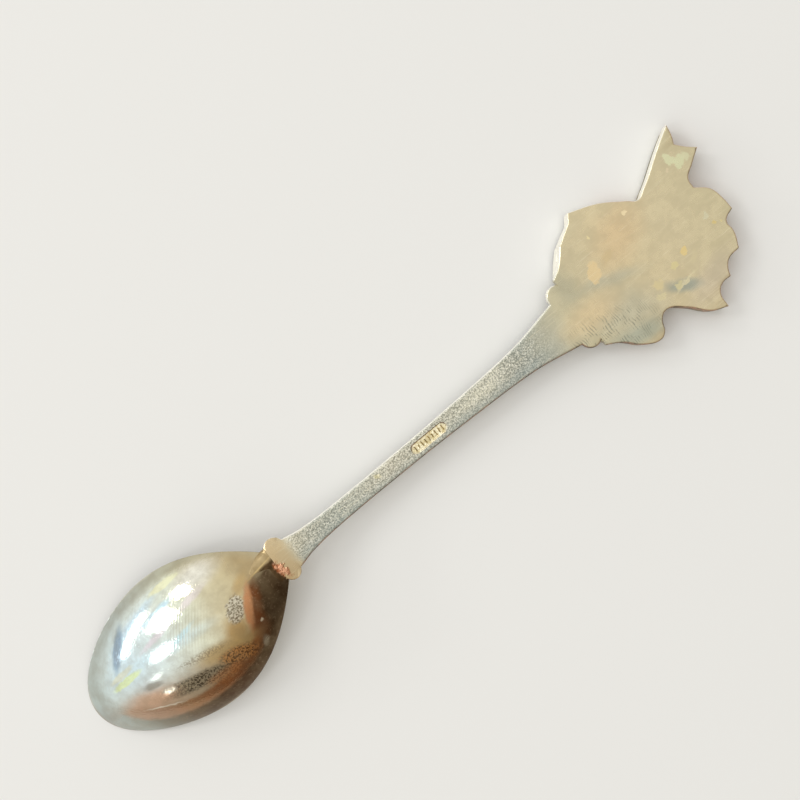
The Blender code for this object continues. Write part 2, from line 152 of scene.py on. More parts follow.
# Leaves: root, tip and half width.
LEAVES = (
    ((11.0, 2.0), (7.6, 10.9), 2.4),
    ((8.5, -1.5), (6.5, -8.9), 2.0),
    ((13.0, -4.5), (16.2, -10.9), 1.8),
)
RIBBON = ((15.0, 4.0), (17.5, 7.0), (25.0, 11.4), (24.4, 9.8), (26.0, 7.9), (21.5, 5.0), (19.0, 1.5))
STEM = ((0.9, 1.3, "c"), (0.9, -1.3, "c"), (12, -1.3, "c"), (12, 1.3, "c"))
# How the two solids of the emblem are rounded and reach into each other; the overrun is in mm.
BACK_ROUNDING = 0.24 * MM
FRONT_ROUNDING = 0.10 * MM
FRONT_OVERLAP = 0.2 * MM
BACK_OVERLAP = 0.05 * MM
SEAM_OVERRUN = 1.0
GROUND_HEIGHT = 0.56 * MM
GROUND_FACING = -0.5
MOULDING_RADIUS = 0.36 * MM
MOULDING_SHARE = 0.955
WELD_REACH = 0.002 * MM


# ---- small tools ------------------------------------------------------------------------------


def linear(code):
    """An sRGB hex colour as the linear values that a shader takes."""
    parts = [int(code[i : i + 2], 16) / 255 for i in (0, 2, 4)]
    return (*[p / 12.92 if p <= 0.04045 else ((p + 0.055) / 1.055) ** 2.4 for p in parts], 1.0)


def add(tree, kind, settings=None, links=None):
    """Adds a node; links go by a socket's name or identifier, to an output socket or a plain value."""
    node = tree.nodes.new(kind)
    for name, value in (settings or {}).items():
        setattr(node, name, value)
    sockets = {s.name: s for s in reversed(node.inputs)} | {s.identifier: s for s in node.inputs}
    for name, value in (links or {}).items():
        if isinstance(value, bpy.types.NodeSocket):
            tree.links.new(value, sockets[name])
        else:
            sockets[name].default_value = value
    return node


def new_object(name, bm):
    """An object of a bmesh, which it uses up."""
    mesh = bpy.data.meshes.new(name)
    bm.to_mesh(mesh)
    bm.free()
    item = bpy.data.objects.new(name, mesh)
    bpy.context.scene.collection.objects.link(item)
    return item


def evaluated_mesh(item):
    """The mesh that an object has after its modifiers, or that a curve makes."""
    bpy.context.view_layer.update()
    graph = bpy.context.evaluated_depsgraph_get()
    return bpy.data.meshes.new_from_object(item.evaluated_get(graph))


def apply_modifiers(item):
    baked = evaluated_mesh(item)
    item.modifiers.clear()
    item.data = baked


def smooth(item, angle=35, flats=False):
    """Smooth shading with sharp corners; flats keeps broad flat faces looking flat up to their edges."""
    for face in item.data.polygons:
        face.use_smooth = True
    item.data.set_sharp_from_angle(angle=math.radians(angle))
    if flats:
        step = item.modifiers.new("Flat faces stay flat", "WEIGHTED_NORMAL")
        step.keep_sharp = True
        step.weight = 100
        apply_modifiers(item)


def finish_piece(item, node, slot, *finishes):
    """Gives a piece its finish, puts it on the spoon's one body and lets it stand for its CAD node."""
    slots = [face.material_index for face in item.data.polygons]
    item.data.materials.clear()
    for finish in finishes:
        item.data.materials.append(finish)
    if len(finishes) > 1:
        item.data.polygons.foreach_set("material_index", slots)
    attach(item, "root")
    if node:
        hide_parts(node)


def through(stations, x):
    """A smooth curve through given stations, read at x."""
    xs = [s[0] for s in stations]
    ys = [s[1] for s in stations]
    last = len(xs) - 1
    x = min(max(x, xs[0]), xs[-1])
    i = min(sum(1 for known in xs[1:] if known <= x), last - 1)
    slopes = []
    for k in (i, i + 1):
        a, b = max(k - 1, 0), min(k + 1, last)
        slopes.append((ys[b] - ys[a]) / (xs[b] - xs[a]))
    span = xs[i + 1] - xs[i]
    t = (x - xs[i]) / span
    rise = (2 * t**3 - 3 * t**2 + 1) * ys[i] + (3 * t**2 - 2 * t**3) * ys[i + 1]
    return rise + span * ((t**3 - 2 * t**2 + t) * slopes[0] + (t**3 - t**2) * slopes[1])


def ease(value, start, end):
    """0 before start, 1 after end, and a smooth step between."""
    t = min(1.0, max(0.0, (value - start) / (end - start)))
    return t * t * (3 - 2 * t)


# ---- bowl -------------------------------------------------------------------------------------


def bowl_skin_point(turn, reach):
    """The bowl's back in its own frame, with the tip at x = 0 and the rim at z = 0."""
    c, s = math.cos(turn), math.sin(turn)
    half = BOWL_LENGTH / 2
    egg = s * (1 - reach**2 * sum(part * c**power for power, part in enumerate(EGG_SHAPE, 1)))
    fullness = CROWN_POWER + HEEL_POWER * max(0.0, c) ** 3 * reach**2
    height = BOWL_DEPTH * max(0.0, 1 - reach**2) ** fullness
    return Vector((half + half * c * reach, BOWL_HALF_WIDTH * egg * reach, height))


def bowl_to_spoon(point):
    """From the bowl's own frame to the spoon's: tilted about the tip."""
    ct, st = math.cos(RIM_TILT), math.sin(RIM_TILT)
    x, z = point.x * ct - point.z * st, point.x * st + point.z * ct
    return Vector((TIP_X + x, BOWL_LINE + point.y, z))


def rim_height(x):
    """Height of the bowl's rim over the table at a place along the spoon."""
    return (x - TIP_X) * math.tan(RIM_TILT)


def bowl_back_height(bowl, x, y):
    """Height of the made bowl's back under a place, or its rim's where the place is outside it."""
    hit, where, _, _ = bowl.ray_cast(Vector((x, y, 2 * BOWL_HIGH.z)), Vector((0, 0, -1)))
    return where.z if hit else rim_height(x)


def make_bowl(outside, inside):
    """The pressed shell, its rim ground flat and the grinding's edges worn round."""
    bm = bmesh.new()
    bmesh.ops.create_uvsphere(bm, u_segments=224, v_segments=112, radius=1.0)
    below = [v for v in bm.verts if v.co.z < -1e-4]
    bmesh.ops.delete(bm, geom=below, context="VERTS")
    for vert in bm.verts:
        reach = min(1.0, math.hypot(vert.co.x, vert.co.y))
        vert.co = bowl_skin_point(math.atan2(vert.co.y, vert.co.x), reach)
    bmesh.ops.recalc_face_normals(bm, faces=bm.faces)
    bowl = new_object("bowl_shell", bm)
    shell = bowl.modifiers.new("Pressed sheet", "SOLIDIFY")
    shell.thickness = BOWL_WALL
    shell.offset = -1.0
    apply_modifiers(bowl)
    for vert in bowl.data.vertices:
        vert.co.z = max(vert.co.z, RIM_GRIND)
    edge = bowl.modifiers.new("Worn rim", "BEVEL")
    edge.width = RIM_ROUNDING
    edge.segments = 3
    edge.limit_method = "ANGLE"
    edge.angle_limit = math.radians(35)
    apply_modifiers(bowl)
    for vert in bowl.data.vertices:
        vert.co = bowl_to_spoon(vert.co)
    smooth(bowl)
    for face in bowl.data.polygons:
        face.material_index = 1 if face.normal.z < INSIDE_FACING else 0
    finish_piece(bowl, "bowl", "bowl_plate", outside, inside)
    return bowl


# ---- handle -----------------------------------------------------------------------------------


def disc_reach(x, centre, height, radius):
    """How far out from the handle's line a round ear or knob reaches at a distance along it."""
    inside = radius**2 - (x - centre) ** 2
    return height + math.sqrt(inside) if inside > 0 else 0.0


def handle_half_width(x, side=1):
    """Half the handle's width at a distance from its end over the bowl; the lower ear is the smaller."""
    shaft = SHAFT_HALF_WIDTH * through(SHAFT_STATIONS, x / HANDLE_LENGTH)
    ear = disc_reach(x, EAR_CENTRE[0], EAR_CENTRE[1], EAR_RADIUS if side > 0 else LOWER_EAR_RADIUS)
    knob_height = COLLAR_HALF_WIDTH - KNOB_RADIUS - (LOWER_KNOB_DROP if side < 0 else 0.0)
    knob = disc_reach(x, HANDLE_LENGTH - KNOB_SETBACK, knob_height, KNOB_RADIUS)
    return max(shaft, ear, knob)


def back_height(x):
    """Height of the handle's back: level with the emblem's, and bent up to the bowl's crown."""
    share = max(0.0, 1 - x / BEND_LENGTH)
    return BACK_HEIGHT + (HANDLE_HIGH.z - NECK_WEAR - BACK_HEIGHT) * share**BEND_POWER


def front_height(x):
    """Height of the handle's front, which runs out against the bowl's heel."""
    plain = back_height(x) - HANDLE_THICKNESS
    blend = ease(x, HEEL_LAP, UNDERCUT_LENGTH)
    return plain * blend + rim_height(END_X + x) * (1 - blend)


def strip_section(lower_half, upper_half, low, high, radius):
    """A rounded oblong seen end on, as (y, z) points round from the bottom of its upper side."""
    radius = min(radius, (high - low) / 2.2)
    upper, lower = upper_half - radius, radius - lower_half
    centres = ((upper, low + radius), (upper, high - radius), (lower, high - radius), (lower, low + radius))
    corners = []
    for number, (cy, cz) in enumerate(centres):
        turns = [math.radians(90 * (number - 1 + k / CORNER_STEPS)) for k in range(CORNER_STEPS + 1)]
        corners.append([(cy + radius * math.cos(turn), cz + radius * math.sin(turn)) for turn in turns])
    points = []
    for corner, following, flat in zip(corners, corners[1:] + corners[:1], FLAT_STEPS):
        (y, z), (next_y, next_z) = corner[-1], following[0]
        points += corner
        points += [(y + (next_y - y) * k / flat, z + (next_z - z) * k / flat) for k in range(1, flat)]
    return points


def handle_places():
    """Distances along the handle, close together over the ears and the knobs and wider on the shaft."""
    shaft_start, shaft_end = END_STEPS * END_STEP, HANDLE_LENGTH - COLLAR_REACH
    places = [i * END_STEP for i in range(END_STEPS + 1)]
    places += [shaft_start + (shaft_end - shaft_start) * i / SHAFT_STEPS for i in range(1, SHAFT_STEPS + 1)]
    return places + [shaft_end + COLLAR_REACH * i / COLLAR_STEPS for i in range(1, COLLAR_STEPS + 1)]


def make_handle(finish):
    """The struck strip: ears over the heel, shaft, flare and collar, with the cartouche sunk in its back."""
    places = handle_places()
    bm = bmesh.new()
    rings = []
    for x in places:
        lower_half, upper_half = handle_half_width(x, -1), handle_half_width(x, 1)
        low, high = front_height(x), back_height(x)
        camber = END_CAMBER * max(0.0, 1 - x / UNDERCUT_LENGTH)
        ring = []
        for y, z in strip_section(lower_half, upper_half, low, high, EDGE_ROUNDING):
            share = (z - low) / (high - low)
            half = upper_half if y > 0 else lower_half
            ring.append(bm.verts.new((END_X + x, y, z - camber * share * (y / half) ** 2)))
        rings.append(ring)
    for first, second in zip(rings, rings[1:]):
        for k in range(len(first)):
            after = (k + 1) % len(first)
            bm.faces.new((first[k], second[k], second[after], first[after]))
    bm.faces.new(rings[0])
    bm.faces.new(list(reversed(rings[-1])))
    bmesh.ops.recalc_face_normals(bm, faces=bm.faces)
    handle = new_object("handle_strip", bm)
    sink = make_cartouche_tool()
    cut = handle.modifiers.new("Cartouche", "BOOLEAN")
    cut.operation = "DIFFERENCE"
    cut.solver = "EXACT"
    cut.object = sink
    apply_modifiers(handle)
    bpy.data.objects.remove(sink, do_unlink=True)
    smooth(handle, 30, flats=True)
    finish_piece(handle, "handle", "handle_plate", finish)


def make_cartouche_tool():
    """A stadium with leaning sides, which sinks the cartouche."""
    bm = bmesh.new()
    radius = CARTOUCHE_WIDTH / 2
    bmesh.ops.create_cone(
        bm,
        cap_ends=True,
        segments=48,
        radius1=radius - CARTOUCHE_DEPTH * 0.6,
        radius2=radius + CARTOUCHE_DEPTH * 0.6,
        depth=2 * CARTOUCHE_DEPTH,
    )
    straight = (CARTOUCHE_LENGTH - CARTOUCHE_WIDTH) / 2
    for vert in bm.verts:
        if abs(vert.co.x) > radius * 1e-3:
            vert.co.x += math.copysign(straight, vert.co.x)
        vert.co += Vector((CARTOUCHE_X, 0, BACK_HEIGHT))
    return new_object("cartouche_tool", bm)


def make_cartouche_marks(finish):
    """Generic raised strokes in the cartouche, bars and short bars in turn."""
    bm = bmesh.new()
    floor = BACK_HEIGHT - CARTOUCHE_DEPTH
    pitch = (CARTOUCHE_LENGTH - MARK_MARGIN) / (MARK_COUNT - 1)
    for i in range(MARK_COUNT):
        middle = CARTOUCHE_X + (i - (MARK_COUNT - 1) / 2) * pitch
        half_height = MARK_HALF_HEIGHTS[i % len(MARK_HALF_HEIGHTS)]
        lean = MARK_LEANS[i % len(MARK_LEANS)]
        for vert in bmesh.ops.create_cube(bm, size=1.0)["verts"]:
            half_width, share, rise = MARK_TOP if vert.co.z > 0 else MARK_FOOT
            x = middle + vert.co.x * 2 * half_width + lean * vert.co.y
            vert.co = Vector((x, vert.co.y * 2 * half_height * share, floor + rise))
    marks = new_object("cartouche_marks", bm)
    finish_piece(marks, None, "handle_plate", finish)


# ---- emblem -----------------------------------------------------------------------------------


def emblem_place(x, y, share=1.0):
    """A drawn place of the emblem on the spoon, drawn in towards the flower by a share."""
    x = FLOWER_CENTRE[0] + (x - FLOWER_CENTRE[0]) * share
    y = FLOWER_CENTRE[1] + (y - FLOWER_CENTRE[1]) * share
    return SEAM_X + x * MM, y * MM


def drawn_shape(name, points, share, height, settings):
    """The solid that a curve with the given settings makes along a closed outline of marked points."""
    curve = bpy.data.curves.new(name, "CURVE")
    for setting, value in settings.items():
        setattr(curve, setting, value)
    spline = curve.splines.new("BEZIER")
    spline.bezier_points.add(len(points) - 1)
    spline.use_cyclic_u = True
    for point, (x, y, kind) in zip(spline.bezier_points, points):
        point.co = (*emblem_place(x, y, share), 0.0)
        point.handle_left_type = point.handle_right_type = "VECTOR" if kind == "c" else "AUTO"
    drawn = bpy.data.objects.new(name, curve)
    bpy.context.scene.collection.objects.link(drawn)
    bm = bmesh.new()
    bm.from_mesh(evaluated_mesh(drawn))
    bpy.data.objects.remove(drawn, do_unlink=True)
    bmesh.ops.remove_doubles(bm, verts=bm.verts, dist=WELD_REACH)
    bmesh.ops.translate(bm, verts=bm.verts, vec=(0, 0, height))
    bmesh.ops.recalc_face_normals(bm, faces=bm.faces)
    return new_object(name, bm)


def flat_shape(name, points, low, high, share=1.0, rounding=0.0):
    """A closed outline of marked points, as a slab between two heights with rounded edges."""
    settings = {"dimensions": "2D", "fill_mode": "BOTH", "extrude": (high - low) / 2 - rounding}
    settings |= {"bevel_depth": rounding, "bevel_resolution": 2, "offset": -rounding, "resolution_u": 8}
    return drawn_shape(name, points, share, (low + high) / 2, settings)


def worn_edges(item, width):
    """Rounds a small solid's edges."""
    step = item.modifiers.new("Worn edges", "BEVEL")
    step.width = width
    step.segments = 2
    step.limit_method = "ANGLE"
    step.angle_limit = math.radians(40)
    apply_modifiers(item)


def square_off(item, place, way):
    """Cuts a piece off flat at a place, on the side that a direction points to, and closes the cut."""
    bm = bmesh.new()
    bm.from_mesh(item.data)
    geometry = list(bm.verts) + list(bm.edges) + list(bm.faces)
    cut = bmesh.ops.bisect_plane(bm, geom=geometry, plane_co=place, plane_no=way, clear_outer=True)
    edges = [e for e in cut["geom_cut"] if isinstance(e, bmesh.types.BMEdge)]
    bmesh.ops.holes_fill(bm, edges=edges, sides=0)
    bmesh.ops.recalc_face_normals(bm, faces=bm.faces)
    bm.to_mesh(item.data)
    bm.free()


def lean_wall(item):
    """Leans the casting's wall outwards towards the table on the upper side of its heel."""
    for vert in item.data.vertices:
        x, y = (vert.co.x - SEAM_X) / MM, vert.co.y / MM
        height = vert.co.z / BACK_HEIGHT
        lean = ease(x, 10, 1) * ease(x, 0, 1) * ease(y, 1, 4)
        vert.co.x += (-0.5 + 0.9 * height) * lean * MM


def make_emblem_back(finish):
    """The flat back plate, its edge worn round everywhere but at the dressed seam."""
    drawn = [(-SEAM_OVERRUN, OUTLINE[0][1], "c"), *OUTLINE[1:-1], (-SEAM_OVERRUN, OUTLINE[-1][1], "c")]
    low = PLATE_LOW.z - BACK_OVERLAP
    plate = flat_shape("emblem_back", drawn, low, PLATE_HIGH.z, 0.999, BACK_ROUNDING)
    square_off(plate, (SEAM_X, 0, 0), (-1, 0, 0))
    lean_wall(plate)
    smooth(plate, 40, flats=True)
    finish_piece(plate, "emblem_plate", "emblem_plate", finish)


# ---- the emblem's front -----------------------------------------------------------------------


def front_point(x, y, height):
    """A place on the front in the outline's drawn mm, at a height above the table in mm."""
    px, py = emblem_place(x, y)
    return Vector((px, py, height * MM))


def make_emblem_front(wall, ground):
    """The body of the relief: a wall round a ground that is flat and dark."""
    top = RELIEF_TOP + FRONT_OVERLAP
    body = flat_shape("emblem_front", OUTLINE, GROUND_HEIGHT, top, 0.998, FRONT_ROUNDING)
    lean_wall(body)
    smooth(body, 40, flats=True)
    for face in body.data.polygons:
        face.material_index = 1 if face.normal.z < GROUND_FACING else 0
    finish_piece(body, "emblem_relief", "relief_plate", wall, ground)


def make_edge_moulding(finish):
    """A rounded moulding that runs round the front just inside its edge."""
    settings = {"dimensions": "3D", "bevel_depth": MOULDING_RADIUS, "bevel_resolution": 3, "resolution_u": 6}
    moulding = drawn_shape("front_moulding", OUTLINE, MOULDING_SHARE, GROUND_HEIGHT, settings)
    smooth(moulding, 50)
    finish_piece(moulding, None, "relief_plate", finish)


def blade(length, half_width, thickness, groove, waist=0.8):
    """A domed blade, such as a petal or a leaf, that lies along +x with a groove down its middle."""
    bm = bmesh.new()
    bmesh.ops.create_uvsphere(bm, u_segments=32, v_segments=20, radius=1.0)
    for vert in bm.verts:
        x, y, z = vert.co
        along = (x + 1) / 2
        swell = math.sin(math.pi * min(1.0, along) ** waist) ** 0.25 if 0 < along < 1 else 0.0
        dip = groove * math.exp(-((y / 0.16) ** 2)) * (1 - x * x)
        rib = 0.25 * groove * math.cos(5 * math.pi * y) * (1 - x * x)
        crown = z * (1 - 0.35 * along) * thickness
        lowered = crown + (dip - rib if z < 0 else 0.0)
        vert.co = Vector((along * length, y * swell * half_width, lowered)) * MM
    bmesh.ops.recalc_face_normals(bm, faces=bm.faces)
    return bm


def ring_tree(name):
    """Sets a shape round a middle at even turns: the nodes behind the petals and the beads."""
    tree = bpy.data.node_groups.new(name, "GeometryNodeTree")
    inputs = {}
    kinds = {"Shape": "Object", "Count": "Int", "Radius": "Float", "Middle": "Vector", "First turn": "Float"}
    for label, kind in (kinds | {"Finish": "Material"}).items():
        inputs[label] = tree.interface.new_socket(name=label, in_out="INPUT", socket_type="NodeSocket" + kind)
    tree.interface.new_socket(name="Ring", in_out="OUTPUT", socket_type="NodeSocketGeometry")
    given = add(tree, "NodeGroupInput").outputs
    shape = add(tree, "GeometryNodeObjectInfo", {}, {"Object": given["Shape"]}).outputs["Geometry"]
    points = add(tree, "GeometryNodePoints", {}, {"Count": given["Count"]}).outputs[0]
    links = {"Value": 2 * math.pi, "Value_001": given["Count"]}
    step = add(tree, "ShaderNodeMath", {"operation": "DIVIDE"}, links)
    index = add(tree, "GeometryNodeInputIndex").outputs[0]
    links = {"Value": index, "Value_001": step.outputs[0], "Value_002": given["First turn"]}
    turn = add(tree, "ShaderNodeMath", {"operation": "MULTIPLY_ADD"}, links).outputs[0]
    turned = add(tree, "ShaderNodeCombineXYZ", {}, {"Z": turn}).outputs[0]
    out = add(tree, "ShaderNodeCombineXYZ", {}, {"X": given["Radius"]}).outputs[0]
    links = {"Vector": out, "Rotation": turned}
    spoke = add(tree, "ShaderNodeVectorRotate", {"rotation_type": "EULER_XYZ"}, links).outputs[0]
    links = {"Vector": spoke, "Vector_001": given["Middle"]}
    place = add(tree, "ShaderNodeVectorMath", {"operation": "ADD"}, links).outputs[0]
    placed = add(tree, "GeometryNodeSetPosition", {}, {"Geometry": points, "Position": place}).outputs[0]
    links = {"Points": placed, "Instance": shape, "Rotation": turned}
    ring = add(tree, "GeometryNodeInstanceOnPoints", {}, links).outputs[0]
    real = add(tree, "GeometryNodeRealizeInstances", {}, {"Geometry": ring}).outputs[0]
    links = {"Geometry": real, "Material": given["Finish"]}
    done = add(tree, "GeometryNodeSetMaterial", {}, links).outputs[0]
    add(tree, "NodeGroupOutput", {}, {"Ring": done})
    return tree, {label: socket.identifier for label, socket in inputs.items()}


def make_ring(name, rings, shape_mesh, count, radius, height, first_turn, finish):
    """A ring of one shape round the flower's middle, as plain mesh."""
    tree, sockets = rings
    shape = new_object(name + "_shape", shape_mesh)
    smooth(shape, 60)
    item = bpy.data.objects.new(name, bpy.data.meshes.new(name))
    bpy.context.scene.collection.objects.link(item)
    step = item.modifiers.new("Ring", "NODES")
    step.node_group = tree
    middle = front_point(*FLOWER_CENTRE, height)
    values = {"Shape": shape, "Count": count, "Radius": radius * MM, "Middle": middle}
    values |= {"First turn": first_turn, "Finish": finish}
    for label, value in values.items():
        step[sockets[label]] = value
    apply_modifiers(item)
    bpy.data.objects.remove(shape, do_unlink=True)
    finish_piece(item, None, "relief_plate", finish)


def bead(sides, rings, radius):
    """A small ball."""
    bm = bmesh.new()
    bmesh.ops.create_uvsphere(bm, u_segments=sides, v_segments=rings, radius=radius * MM)
    return bm


def make_flower(finish):
    """Two rings of petals, a domed middle, and a ring of beads round it and on it."""
    tree = ring_tree("Ring of one shape")
    half_step = math.pi / PETALS
    # Each ring: its shape, how many, distance from the middle, height over the table, and first turn.
    for name, *ring in (
        ("outer_petals", blade(6.3, 2.15, 0.34, 0.10), PETALS, 1.6, 0.46, 0.0),
        ("inner_petals", blade(4.1, 1.45, 0.30, 0.09), PETALS, 1.3, 0.34, half_step),
        ("flower_beads", bead(16, 10, 0.30), 24, 2.45, 0.34, 0.0),
        ("middle_beads", bead(12, 8, 0.2), 12, 1.25, 0.22, 0.0),
    ):
        make_ring(name, tree, *ring, finish)
    bm = bmesh.new()
    bmesh.ops.create_uvsphere(bm, u_segments=48, v_segments=24, radius=1.0)
    for vert in bm.verts:
        dip = 0.16 * math.exp(-((math.hypot(vert.co.x, vert.co.y) / 0.35) ** 2)) if vert.co.z < 0 else 0.0
        x, y = FLOWER_CENTRE[0] + MIDDLE_RADIUS * vert.co.x, FLOWER_CENTRE[1] + MIDDLE_RADIUS * vert.co.y
        vert.co = front_point(x, y, 0.50 + 0.48 * vert.co.z + dip)
    middle = new_object("flower_middle", bm)
    smooth(middle, 60)
    finish_piece(middle, None, "relief_plate", finish)


def make_leaves(finish):
    """Three grooved leaves that reach out from under the petals."""
    bm = bmesh.new()
    for number, (root, tip, half_width) in enumerate(LEAVES):
        root, tip = Vector(root), Vector(tip)
        way = tip - root
        leaf = blade(way.length, half_width, 0.36, 0.14, 0.7)
        turn = math.atan2(way.y, way.x)
        for vert in leaf.verts:
            x, y, z = vert.co / MM
            px = root.x + x * math.cos(turn) - y * math.sin(turn)
            py = root.y + x * math.sin(turn) + y * math.cos(turn)
            vert.co = front_point(px, py, 0.62 - 0.02 * number + z)
        piece = bpy.data.meshes.new("leaf")
        leaf.to_mesh(piece)
        leaf.free()
        bm.from_mesh(piece)
        bpy.data.meshes.remove(piece)
    leaves = new_object("front_leaves", bm)
    smooth(leaves, 60)
    finish_piece(leaves, None, "relief_plate", finish)


def make_ribbon(finish):
    """The swallow-tailed ribbon in the fork, and the stem that runs down to the collar."""
    drawn = [(x, y, "c") for x, y in RIBBON]
    ribbon = flat_shape("front_ribbon", drawn, 0.36 * MM, 0.75 * MM, 0.97, 0.06 * MM)
    smooth(ribbon, 40, flats=True)
    finish_piece(ribbon, None, "relief_plate", finish)
    band = flat_shape("front_stem", STEM, 0.40 * MM, 0.75 * MM, 1.0, 0.08 * MM)
    smooth(band, 40, flats=True)
    finish_piece(band, None, "relief_plate", finish)


# ---- braze ------------------------------------------------------------------------------------


def neck_heights(bowl, x, y, side):
    """Top and foot of the dressed braze: the handle's end, run out onto the bowl's back."""
    camber = END_CAMBER * max(0.0, 1 - x / UNDERCUT_LENGTH) * side**2
    handle_back = back_height(max(0.0, x)) - camber
    bowl_back = bowl_back_height(bowl, END_X + x, y)
    step = max(0.0, handle_back - bowl_back_height(bowl, END_X + max(0.0, x), y))
    reach = NECK_RUN + UPPER_RUN * ease(y, 0.2 * MM, 1.4 * MM) + RIM_RUN * ease(y, 1.4 * MM, 3.0 * MM)
    gone = ease(-x, 0.0, reach * MM)
    height = bowl_back + step * (1 - gone) + (0.015 - 0.10 * ease(gone, 0.94, 1.0)) * MM
    under_end = 0.06 * MM * ease(x, 0.15 * MM, 0.45 * MM)
    rolled = 0.22 * MM * ease(abs(side), 0.88, 1.0) ** 2
    return height - under_end - rolled, bowl_back - 0.12 * MM


def make_neck_fillet(bowl, finish):
    """The dressed braze that carries the handle's end down onto the bowl's back.

    It is wide on the upper side, where it was ground smooth, and tight on the lower side.
    """
    across, along = NECK_STEPS_ACROSS, NECK_STEPS
    bm = bmesh.new()
    tops, floors = [], []
    for i in range(along + 1):
        x = NECK_START + (NECK_END - NECK_START) * i / along
        lower_half = handle_half_width(max(0.0, x), -1)
        upper_half = handle_half_width(max(0.0, x), 1) + 0.25 * MM * ease(-x, -0.4 * MM, 0.2 * MM)
        top, floor = [], []
        for k in range(across + 1):
            side = 2 * k / across - 1
            y = side * (upper_half if side > 0 else lower_half) * 0.99
            height, foot = neck_heights(bowl, x, y, side)
            top.append(bm.verts.new((END_X + x, y, height)))
            floor.append(bm.verts.new((END_X + x, y, min(foot, height - 0.1 * MM))))
        tops.append(top)
        floors.append(floor)
    for rows in (tops, floors):
        for first, second in zip(rows, rows[1:]):
            for k in range(across):
                bm.faces.new((first[k], second[k], second[k + 1], first[k + 1]))
    ends = [list(zip(tops[i], floors[i])) for i in (0, -1)]
    sides = [[(top[k], floor[k]) for top, floor in zip(tops, floors)] for k in (0, -1)]
    for rim in ends + sides:
        for (a, b), (c, d) in zip(rim, rim[1:]):
            bm.faces.new((a, b, d, c))
    bmesh.ops.recalc_face_normals(bm, faces=bm.faces)
    fillet = new_object("neck_braze", bm)
    smooth(fillet, 50)
    finish_piece(fillet, "bowl_braze", "braze", finish)


def make_collar_seam(finish):
    """The strip of braze left in the bottom of the collar's notches."""
    bm = bmesh.new()
    for side in (-1, 1):
        made = bmesh.ops.create_cube(bm, size=1.0)["verts"]
        for vert in made:
            y = side * (COLLAR_HALF_WIDTH - 0.8 * MM + vert.co.y * 0.8 * MM)
            z = BACK_HEIGHT - 0.75 * MM + vert.co.z * 0.8 * MM
            vert.co = Vector((SEAM_X + vert.co.x * 0.3 * MM, y, z))
    bmesh.ops.recalc_face_normals(bm, faces=bm.faces)
    seam = new_object("collar_braze", bm)
    worn_edges(seam, SEAM_ROUNDING)
    finish_piece(seam, "emblem_braze", "braze", finish)


# ---- finishes ---------------------------------------------------------------------------------
# Places in the finishes are mm along the spoon from the handle's end over the bowl, with the bowl
# on the minus side, and mm across it. A share is a strength from 0 to 1 at each place.


def new_finish(name, roughness):
    """A metal finish: its material, its tree and its shader, with a metal's own default IOR."""
    material = bpy.data.materials.new(name)
    material.use_nodes = True
    shader = material.node_tree.nodes["Principled BSDF"]
    shader.inputs["Metallic"].default_value = 1.0
    shader.inputs["Roughness"].default_value = roughness
    return material, material.node_tree, shader


def spoon_place(tree):
    """The place on the spoon in mm, counted from the handle's end."""
    spot = add(tree, "ShaderNodeTexCoord").outputs["Object"]
    links = {"Vector": spot, "Scale": (1 / MM, 1 / MM, 1 / MM), "Location": (-END_X / MM, 0, 0)}
    return add(tree, "ShaderNodeMapping", {}, links).outputs[0]


def wander(tree, place, grain, reach):
    """The place with its edges made to wander by a cloudy noise of the given grain in mm."""
    noise = add(tree, "ShaderNodeTexNoise", {}, {"Vector": place, "Scale": 1 / grain, "Detail": 3.0})
    links = {"Vector": noise.outputs["Color"], "Vector_001": (0.5, 0.5, 0.5)}
    middle = add(tree, "ShaderNodeVectorMath", {"operation": "SUBTRACT"}, links)
    links = {"Vector": middle.outputs[0], "Vector_001": (reach * 2,) * 3, "Vector_002": place}
    return add(tree, "ShaderNodeVectorMath", {"operation": "MULTIPLY_ADD"}, links).outputs[0]


def overlap(tree, *shares):
    """Where all the shares meet: their product. A share (value, start, end) eases from 0 to 1."""
    product = None
    for share in shares:
        if isinstance(share, tuple):
            links = {"Value": share[0], "From Min": share[1], "From Max": share[2]}
            share = add(tree, "ShaderNodeMapRange", {"interpolation_type": "SMOOTHSTEP"}, links).outputs[0]
        if product is not None:
            links = {"Value": product, "Value_001": share}
            share = add(tree, "ShaderNodeMath", {"operation": "MULTIPLY"}, links).outputs[0]
        product = share
    return product


def strongest(tree, *shares):
    """The highest of the shares at each place."""
    top = shares[0]
    for share in shares[1:]:
        links = {"Value": top, "Value_001": share}
        top = add(tree, "ShaderNodeMath", {"operation": "MAXIMUM"}, links).outputs[0]
    return top


def raised(tree, value, *parts):
    """A value that each (share, amount) raises by the share times the amount."""
    for share, amount in parts:
        links = {"Value": share, "Value_001": amount, "Value_002": value}
        value = add(tree, "ShaderNodeMath", {"operation": "MULTIPLY_ADD"}, links).outputs[0]
    return value


def layer(tree, below, above, *shares):
    """A tone laid over another where the shares meet; either tone is a hex colour or a socket."""
    tones = {"A_Color": below, "B_Color": above}
    links = {name: linear(tone) if isinstance(tone, str) else tone for name, tone in tones.items()}
    links["Factor_Float"] = overlap(tree, *shares)
    return add(tree, "ShaderNodeMix", {"data_type": "RGBA"}, links).outputs[2]


def grainy(tree, below, dark, light, grain, *shares):
    """Dark and light grains laid over a tone where the shares meet."""
    return layer(tree, below, layer(tree, dark, light, grain), *shares)


